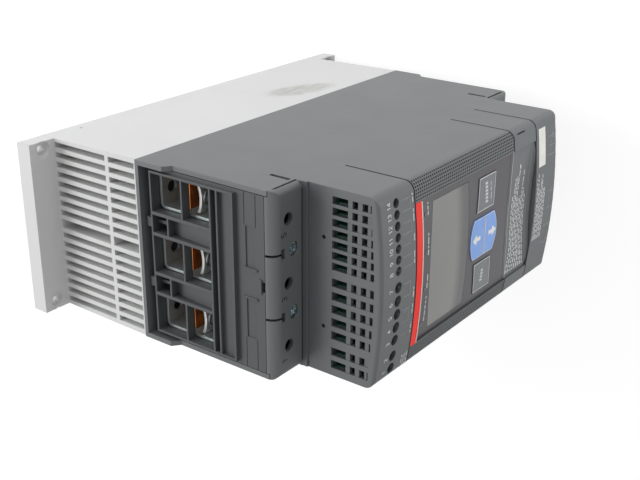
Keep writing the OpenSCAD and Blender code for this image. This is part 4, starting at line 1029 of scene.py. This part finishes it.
@dataclass
class ControlUnit(Assembly):
    """The control housing with its terminals, their numbers and the printing above and below the keypad."""

    front: Front = Front()
    input_first: float = 0.0395
    input_pitch: float = 0.0051
    input_poles: int = 7
    relay_first: float = 0.0011
    relay_pitch: float = 0.00645
    relay_poles: int = 5
    supply_first: float = -0.0328
    supply_poles: int = 2
    number_z: float = 0.0768
    number_height: float = 0.0023
    stroke: float = 0.00037
    thin: float = 0.00022
    inputs: ContactSketch = ContactSketch(0.0675, 0.0618, (0.001, 0.0018), ((0, 1), (2, 3), (5, 6)))
    relays: ContactSketch = ContactSketch(0.0667, 0.0626, (0.0018, 0.0025), ((0, 1), (2, 3)))
    wiring: WiringSketch = WiringSketch()
    caption_z: float = 0.0586
    caption_height: float = 0.0007
    caption_spans: tuple[Span, ...] = (
        (0.0365, 0.0405), (0.028, 0.034), (0.019, 0.0235), (0.0085, 0.0145), (-0.008, -0.0025),
        (-0.016, -0.0105), (-0.026, -0.0205))
    supply_x: Span = (-0.0425, -0.0355)
    supply_z: Span = (0.0585, 0.0628)
    supply_row: Span = (0.0014, 0.0006)
    print_x: Span = (-0.0215, 0.0180)
    print_z: Span = (-0.0708, -0.0622)
    print_row: Span = (0.00143, 0.0007)
    label_x: Span = (0.0196, 0.0400)
    label_z: Span = (-0.0703, -0.0627)
    label_lift: float = 0.00012
    seam_gap: float = 0.0005
    seam_inner: float = 0.0348
    seam_width: float = 0.0008
    seam_lift: float = 0.00004
    seam_points: int = 160
    finishes: ClassVar[dict[str, Finish]] = {
        "control_housing": DARK_PLASTIC, "supply_terminal_block": TERMINAL_PLASTIC,
        "relay_terminal_block": TERMINAL_PLASTIC, "input_terminal_block": TERMINAL_PLASTIC,
        "terminal_screws": GLINT_PAINTED_STEEL, "control_board": BOARD}

    def poles(self) -> np.ndarray:
        """Gives the places of all poles, from the right to the left.

        Returns:
            The places across the unit: inputs, relays, then the supply.
        """
        return np.concatenate([self.input_first - self.input_pitch * np.arange(self.input_poles),
                               self.relay_first - self.relay_pitch * np.arange(self.relay_poles),
                               self.supply_first - self.relay_pitch * np.arange(self.supply_poles)])

    def build(self) -> None:
        """Prints the numbers, the contact sketches, the rows of small print and the bare label; paints seam
        shade.
        """
        crown = self.front.crown_at(0.0)
        places = self.poles()
        numbers = InkSheet("terminal_numbers", WHITE_INK, crown)
        for i, x in enumerate(places):
            numbers.number(str(len(places) - i), x, self.number_z, self.number_height, self.stroke)
        numbers.finished()
        self.upper_print(crown, places)
        self.lower_print(crown)
        self.seams()

    def upper_print(self, crown: Surface, places: np.ndarray) -> None:
        """Prints the contact sketches below the terminals, with a row of dashes below each.

        Args:
            crown: the face that carries the printing.
            places: the terminals' places across the unit.
        """
        lines = InkSheet("contact_sketch", DIM_INK, crown)
        self.inputs.draw(lines, places[:self.input_poles], self.thin)
        self.relays.draw(lines, places[self.input_poles:self.input_poles + self.relay_poles], self.thin)
        lines.finished()
        captions = InkSheet("terminal_captions", PALE_INK, crown)
        captions.dashes(self.caption_spans, self.caption_z, self.caption_height, seed=11)
        captions.rows(self.supply_x, self.supply_z, *self.supply_row, seed=31, fill=0.8)
        captions.finished()

    def lower_print(self, crown: Surface) -> None:
        """Prints the lower section: rows of dashes, thin wiring lines and a bare label.

        Args:
            crown: the face that carries the printing.
        """
        rows = InkSheet("lower_rows", PALE_INK, crown)
        rows.rows(self.print_x, self.print_z, *self.print_row, seed=5, fill=0.55)
        rows.finished()
        wires = InkSheet("wiring_sketch", DIM_INK, crown)
        self.wiring.draw(wires, self.thin)
        wires.finished()
        label = InkSheet("bare_label", LABEL_PAPER, crown, lift=self.label_lift)
        label.block(self.label_x, self.label_z)
        label.finished()

    def seams(self) -> None:
        """Lays painted shade on the seams round the bezel and the lid: dark level ribbons along the front
        and sides.
        """
        bezel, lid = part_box("keypad_bezel"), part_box("scoop_lid")
        half_gap = self.seam_gap / 2
        far = self.front.run_to(-bezel[1][1])
        ribbons = [(bezel[1][2] + half_gap, -far, far)]
        for z in (bezel[0][2] - half_gap, lid[0][2] - half_gap):
            ribbons += [(z, -far, -self.seam_inner), (z, self.seam_inner, far)]
        for i, (z, start, end) in enumerate(ribbons):
            x, y = self.front.wrapped(np.linspace(start, end, self.seam_points), self.seam_lift)
            rims = (z - self.seam_width / 2, z + self.seam_width / 2)
            verts = np.vstack([np.stack([x, y, np.full_like(x, rim)], axis=1) for rim in rims])
            grid_piece(f"seam_shade_{i + 1}", verts, lattice(2, len(x)), SEAM_SHADE)


@dataclass
class Keypad(Assembly):
    """The keypad: its bezel with pits, film, window, keys and their printing."""

    front: Front = Front()
    panel_drop: float = 0.0012
    key_proud: float = 0.0004
    strip_half: float = 0.0346
    strip_edge_z: Span = (0.05100, 0.05165)
    caption_z: float = 0.0449
    caption_height: float = 0.00075
    caption_spans: tuple[Span, ...] = ((0.0262, 0.0322), (0.0072, 0.0182), (-0.0092, -0.0022),
                                       (-0.0262, -0.0132))
    pit_first: float = 0.0361
    pit_rows: int = 7
    pit_pitch: Span = (0.0015, 0.0017)
    pit_z: Span = (-0.0348, 0.0558)
    pit_radius: float = 0.00046
    pit_lift: float = 0.00006
    pit_sides: ClassVar[int] = 8
    key_x: Span = (0.01385, 0.02975)
    key_top: float = 0.00085
    key_fall: float = 0.0026
    key_height: float = 0.0157
    key_line: float = 0.00045
    bar_pitch: float = 0.0018
    bar_half: float = 0.00062
    bar_z: Span = (-0.0093, -0.0069)
    note_half: float = 0.0045
    note_z: float = -0.0124
    note_height: float = 0.0006
    arrow_split: float = -0.007
    arrow_start: float = 0.0040
    shaft_length: float = 0.0036
    shaft_width: float = 0.0021
    head_base: float = 0.0004
    head_length: float = 0.0033
    head_width: float = 0.0050
    head_slices: int = 10
    head_slice: float = 0.00034
    rim_half: float = 0.0100
    rim_near: float = 0.00045
    rim_far: tuple[tuple[Glyph, float], ...] = ((Glyph.UP, 0.01325), (Glyph.DOWN, 0.0119))
    rim_bend: float = 0.0184
    rim_points: int = 15
    rim_line: float = 0.00026
    split_half: float = 0.00020
    pit_faces: ClassVar[np.ndarray] = np.array([(0, 1, 2, 3), (0, 3, 4, 7), (4, 5, 6, 7)])
    finishes: ClassVar[dict[str, Finish]] = {
        "keypad_bezel": DARK_PLASTIC, "keypad_panel": KEYPAD_FILM, "red_strip": RED_FILM,
        "display_window": WINDOW, "display_module": DISPLAY, "keypad_board": BOARD,
        "key_domes": DOME_STEEL, "light_pipes": PIPE, "select_key": GREY_KEY, "exit_key": GREY_KEY,
        "up_key": BLUE_KEY, "down_key": BLUE_KEY}

    def build(self) -> None:
        """Prints the strip's edge, the captions, the keys' frames, their bars and their arrows."""
        key_face = self.front.crown_at(self.panel_drop - self.key_proud)
        edge = InkSheet("strip_edge_line", CREAM_INK, self.front.crown_at(0.0), slot="red_film")
        edge.bar((-self.strip_half, self.strip_half), self.strip_edge_z)
        edge.finished()
        panel = self.front.crown_at(self.panel_drop)
        captions = InkSheet("light_captions", PALE_INK, panel, slot="keypad_film")
        captions.dashes(self.caption_spans, self.caption_z, self.caption_height, seed=51)
        captions.finished()
        self.grey_key("select_key", Side.RIGHT, 6, key_face)
        self.grey_key("exit_key", Side.LEFT, 4, key_face)
        for glyph, far in self.rim_far:
            self.blue_key(glyph, far, key_face)
        self.pits()

    def pits(self) -> None:
        """Lays painted shade in the pits beside the keypad: dark eight-sided discs on a grid that wraps each
        edge.
        """
        across = self.pit_first + self.pit_pitch[0] * np.arange(self.pit_rows)
        along = np.arange(self.pit_z[0], self.pit_z[1], self.pit_pitch[1])
        run, height = (v.ravel()[:, None] for v in np.meshgrid(np.concatenate([-across, across]), along))
        turn = np.radians(360 / self.pit_sides * (np.arange(self.pit_sides) + 0.5))[None, :]
        x, y = self.front.wrapped(run + self.pit_radius * np.cos(turn), self.pit_lift)
        verts = np.stack([x, y, height + self.pit_radius * np.sin(turn)], axis=2).reshape(-1, 3)
        first = self.pit_sides * np.arange(len(run))[:, None, None]
        quads = (first + self.pit_faces[None]).reshape(-1, 4)
        grid_piece("bezel_pit_shade", verts, quads, PIT_SHADE)

    def grey_key(self, body: str, side: Side, bar_count: int, face: Surface) -> None:
        """Prints a pale frame along a grey key's rim and plain bars in its middle.

        Args:
            body: the key's body.
            side: the key's side of the keypad; the right key also has a row of dashes below its bars.
            bar_count: the number of bars.
            face: the key's face.
        """
        (inner, outer), top, low = self.key_x, self.key_top, self.key_top - self.key_fall
        corners = np.array([(inner, top), (inner, top - self.key_height), (outer, low - self.key_height),
                            (outer, low)])
        if side is Side.LEFT:
            corners = corners[::-1] * np.array([-1.0, 1.0])
        frame_line = InkSheet(f"{body}_frame", KEY_INK, face, body, "grey_key_plastic")
        frame_line.outline(corners, self.key_line)
        frame_line.finished()
        bars = InkSheet(f"{body}_bars", KEY_INK, face, body, "grey_key_plastic")
        middle = side.value * (inner + outer) / 2
        for i in range(bar_count):
            x = middle + (i - (bar_count - 1) / 2) * self.bar_pitch
            bars.bar((x - self.bar_half, x + self.bar_half), self.bar_z)
        if side is Side.RIGHT:
            note = (middle - self.note_half, middle + self.note_half)
            bars.dashes([note], self.note_z, self.note_height, seed=91)
        bars.finished()

    def blue_key(self, glyph: Glyph, far: float, face: Surface) -> None:
        """Prints a white arrow and a white frame on a blue key.

        The arrow's head is a stack of slices whose width falls evenly to its tip. The frame's far side is an
        arc: z = split + way (far - b + sqrt(b^2 - x^2)), with b the bend's radius.

        Args:
            glyph: the way the arrow points.
            far: how far the frame reaches from the split between the two keys.
            face: the key's face.
        """
        way, body = glyph.value, f"{glyph.name.lower()}_key"
        start = self.arrow_split + way * self.arrow_start
        neck = start + way * self.shaft_length
        head = start + way * (self.shaft_length + self.head_base)
        sheet = InkSheet(f"{body}_arrow", WHITE_INK, face, body, "blue_key_plastic")
        sheet.stroke([(0.0, start), (0.0, neck)], self.shaft_width)
        sheet.stroke([(0.0, neck), (0.0, head)], self.head_width)
        for share in np.linspace(0.0, 1.0, self.head_slices, endpoint=False):
            z = head + way * self.head_length * share
            sheet.stroke([(0.0, z), (0.0, z + way * self.head_slice)], self.head_width * (1.0 - share))
        sheet.finished()
        rim = InkSheet(f"{body}_frame", WHITE_INK, face, body, "blue_key_plastic")
        half = self.rim_half
        x = np.linspace(-half, half, self.rim_points)
        ends = self.arrow_split + way * (far - self.rim_bend + np.sqrt(self.rim_bend ** 2 - x ** 2))
        near = self.arrow_split + way * self.rim_near
        ring = joined(np.stack([x, ends], axis=1), (half, near), (-half, near))
        rim.outline(ring if glyph is Glyph.DOWN else ring[::-1], self.rim_line)
        rim.bar((-half, half), (near - self.split_half, near + self.split_half))
        rim.finished()


@dataclass
class ScoopLid(Assembly):
    """The lid below the keypad, with rows of small print in its hollow front."""

    front: Front = Front()
    drop: float = 0.0012
    top_z: float = -0.0304
    low_z: float = -0.05975
    depth: float = 0.0051
    radius: float = 0.330
    half_hollow: float = 0.0347
    print_x: Span = (-0.0325, 0.0290)
    print_z: Span = (-0.0562, -0.0372)
    print_row: Span = (0.00236, 0.00105)
    foot_z: float = -0.0326
    foot_radius: float = 0.128
    foot_rise: float = 0.0013
    foot_width: float = 0.0028
    foot_line: float = 0.00055
    foot_lift: float = 0.00005
    foot_points: int = 41
    fillet: float = 0.0026
    fillet_share: float = 0.8
    fillet_fade: float = 0.004
    fillet_least: float = 0.02
    fillet_points: int = 61
    fillet_steps: int = 9
    sunk: float = 0.0001
    finishes: ClassVar[dict[str, Finish]] = {"scoop_lid": DARK_PLASTIC}

    def face(self) -> Surface:
        """Gives the lid's front: the crown at the panel's level, with the leaning hollow cut into it.

        Returns:
            A function that gives y for arrays of x and z.
        """
        lean = float(np.arctan((self.depth - self.drop) / (self.top_z - self.low_z)))
        hollow = hollow_face(self.front.depth - self.drop, self.top_z, lean, self.radius)
        return deeper(self.front.crown_at(self.drop), hollow)

    def build(self) -> None:
        """Prints rows of dashes in the hollow, laps the film's foot over the lid and fills the corner."""
        face = self.face()
        sheet = InkSheet("scoop_rows", PALE_INK, face)
        sheet.rows(self.print_x, self.print_z, *self.print_row, seed=71, fill=0.6)
        sheet.finished()
        x = np.linspace(-self.half_hollow, self.half_hollow, self.foot_points)
        bow = np.sqrt(self.foot_radius ** 2 - x ** 2) - self.foot_radius
        film = InkSheet("film_foot", KEYPAD_FILM, face, slot="keypad_film", lift=self.foot_lift)
        film.stroke(np.stack([x, self.foot_z + self.foot_rise + bow], axis=1), self.foot_width)
        film.finished()
        line = InkSheet("film_foot_line", DIM_INK, face, slot="keypad_film")
        line.stroke(np.stack([x, self.foot_z + bow], axis=1), self.foot_line)
        line.finished()
        self.corner(face)

    def corner(self, face: Surface) -> None:
        """Fills the hollow's lower corner with a closed fillet: p(t) = (1-t)^2 a + 2 t (1-t) c + t^2 b.

        At each x, c is the corner, a lies the fillet's size up the hollow from it and b as far out of the
        hollow. The size shrinks with the wall's height and goes to nothing at both ends. The back runs
        straight from a over c to b, a little sunk into the lid.

        Args:
            face: the lid's front.
        """
        count, steps = self.fillet_points, self.fillet_steps
        x = np.linspace(-self.half_hollow, self.half_hollow, count)
        floor = face(x, x * 0 + self.low_z)
        wall = floor - self.front.crown_at(0.0)(x, x)
        fade = np.clip((self.half_hollow - np.abs(x)) / self.fillet_fade, self.fillet_least, 1.0)
        size = (np.minimum(self.fillet, self.fillet_share * wall) * fade)[:, None]
        t = np.linspace(0.0, 1.0, steps)[None, :]
        base, above = floor[:, None], face(x, self.low_z + size[:, 0])[:, None]
        y = (1 - t) ** 2 * above + 2 * t * (1 - t) * base + t ** 2 * (base - size)
        z = self.low_z + (1 - t) ** 2 * size
        back_y = np.where(t < 0.5, above + (base - above) * 2 * t, base - size * (2 * t - 1)) + self.sunk
        back_z = self.low_z + np.maximum(1 - 2 * t, 0.0) * size
        ring_y, ring_z = np.hstack([y, back_y[:, ::-1]]), np.hstack([z, back_z[:, ::-1]])
        around = 2 * steps
        verts = np.stack([np.repeat(x[:, None], around, axis=1), ring_y, ring_z], axis=2).reshape(-1, 3)
        i = np.arange(around)
        ring = np.stack([i, (i + 1) % around], axis=1)
        side = np.concatenate([ring, ring[:, ::-1] + around], axis=1)
        sides = (around * np.arange(count - 1)[:, None, None] + side[None]).reshape(-1, 4)
        j = np.arange(steps - 1)
        cap = np.stack([j, around - 1 - j, around - 2 - j, j + 1], axis=1)
        quads = np.concatenate([sides, cap, cap[:, ::-1] + around * (count - 1)])
        grid_piece("scoop_fillet", verts, quads, DARK_PLASTIC)


# Studio


@dataclass(frozen=True)
class Softbox:
    """A square soft lamp that faces the object."""

    name: str
    place: Place
    watts: float
    size: float

    def build(self, target: Place) -> None:
        """Hangs the lamp.

        Args:
            target: the point that it faces.
        """
        data = bpy.data.lights.new(self.name, "AREA")
        data.energy = self.watts
        data.size = self.size
        lamp = bpy.data.objects.new(self.name, data)
        bpy.context.scene.collection.objects.link(lamp)
        lamp.location = self.place
        lamp.rotation_mode = "QUATERNION"
        lamp.rotation_quaternion = (Vector(target) - Vector(self.place)).to_track_quat("-Z", "Y")


@dataclass
class Studio:
    """A plain studio: the photograph's camera, a pale floor, soft light and a white background."""

    eye: Place = (0.194175, -0.402738, 0.419510)
    right: Place = (0.004544, -0.800068, -0.599892)
    down: Place = (-0.922853, -0.234395, 0.305618)
    ahead: Place = (-0.385127, 0.552223, -0.739410)
    focal_px: float = 1047.238
    image_px: int = 640
    sensor_mm: float = 36.0
    clip: Span = (0.01, 50.0)
    floor_z: float = -0.1226
    floor_half: float = 6.0
    floor_glow: float = 0.84
    floor_shadow: float = 0.24
    floor_paper: float = 0.62
    white: str = "#FFFFFF"
    sky: float = 0.44
    target: Place = (0.0, -0.09, 0.0)
    lamps: tuple[Softbox, ...] = (
        Softbox("side_softbox", (1.28, -0.20, 0.08), 10.1, 1.0),
        Softbox("front_softbox", (0.03, -0.38, -0.106), 0.31, 0.10),
        Softbox("back_softbox", (0.25, 0.55, 0.85), 6.3, 0.6))

    def camera(self) -> None:
        """Sets the camera from the fitted view: its columns are right, up, back and the eye."""
        data = bpy.data.cameras.new("photo_camera")
        data.sensor_width = self.sensor_mm
        data.lens = self.focal_px / self.image_px * self.sensor_mm
        data.clip_start, data.clip_end = self.clip
        camera = bpy.data.objects.new("photo_camera", data)
        bpy.context.scene.collection.objects.link(camera)
        columns = [Vector(self.right), -Vector(self.down), -Vector(self.ahead), Vector(self.eye)]
        camera.matrix_world = Matrix([[c[row] for c in columns] for row in range(3)] + [[0, 0, 0, 1]])
        bpy.context.scene.camera = camera

    def seen(self, tree: Tree) -> Socket:
        """Gives 1 for the rays that show the background: camera, glossy and transmission rays.

        Args:
            tree: the node tree.

        Returns:
            1 for those rays and 0 for the others.
        """
        shown = add(tree, "LightPath", out="Is Camera Ray")
        for kind in ("Is Glossy Ray", "Is Transmission Ray"):
            shown = add(tree, "Math", {0: shown, 1: add(tree, "LightPath", out=kind)}, operation="MAXIMUM")
        return shown

    def floor(self) -> None:
        """Lays a pale floor that shows near white and keeps the object's shadow."""
        half, z = self.floor_half, self.floor_z
        corners = [(-half, -half, z), (half, -half, z), (half, half, z), (-half, half, z)]
        mesh = bpy.data.meshes.new("studio_floor")
        mesh.from_pydata(corners, [], [(0, 1, 2, 3)])
        floor = bpy.data.objects.new("studio_floor", mesh)
        bpy.context.scene.collection.objects.link(floor)
        # Matt white paper: it glows for the rays that see it, and its small diffuse share takes the shadow.
        material = bpy.data.materials.new("white_studio_paper")
        material.use_nodes = True
        tree = material.node_tree
        tree.nodes.clear()
        glow = add(tree, "Emission", {"Color": linear(self.white), "Strength": self.floor_glow})
        shadow, paper = (add(tree, "BsdfDiffuse", {"Color": (grey, grey, grey, 1.0)})
                         for grey in (self.floor_shadow, self.floor_paper))
        shown = add(tree, "AddShader", {0: glow, 1: shadow})
        mixed = add(tree, "MixShader", {0: self.seen(tree), 1: paper, 2: shown})
        add(tree, "OutputMaterial", {"Surface": mixed})
        mesh.materials.append(material)

    def world(self) -> None:
        """Lights the scene evenly from all round, and shows white to the rays that see the background."""
        world = bpy.data.worlds.new("studio_world")
        world.use_nodes = True
        tree = world.node_tree
        tree.nodes.clear()
        shown = add(tree, "Background", {"Color": linear(self.white), "Strength": 1.0})
        light = add(tree, "Background", {"Color": linear(self.white), "Strength": self.sky})
        mixed = add(tree, "MixShader", {0: self.seen(tree), 1: light, 2: shown})
        add(tree, "OutputWorld", {"Surface": mixed})
        bpy.context.scene.world = world

    def build(self) -> None:
        """Sets up the camera, the floor, the world and the lamps, with the view transform at Standard."""
        self.camera()
        self.floor()
        self.world()
        for lamp in self.lamps:
            lamp.build(self.target)
        bpy.context.scene.view_settings.view_transform = "Standard"


def main() -> None:
    """Builds the studio and the sub-assemblies in order."""
    logging.basicConfig(level=logging.INFO, format="%(name)s: %(message)s")
    Studio().build()
    assemblies = (BaseStack(), PowerStage(), TerminalEnd(End.LINE), TerminalEnd(End.LOAD), ControlUnit(),
                  Keypad(), ScoopLid())
    for assembly in assemblies:
        assembly.dress()
        assembly.build()


if __name__ == "__main__":
    main()
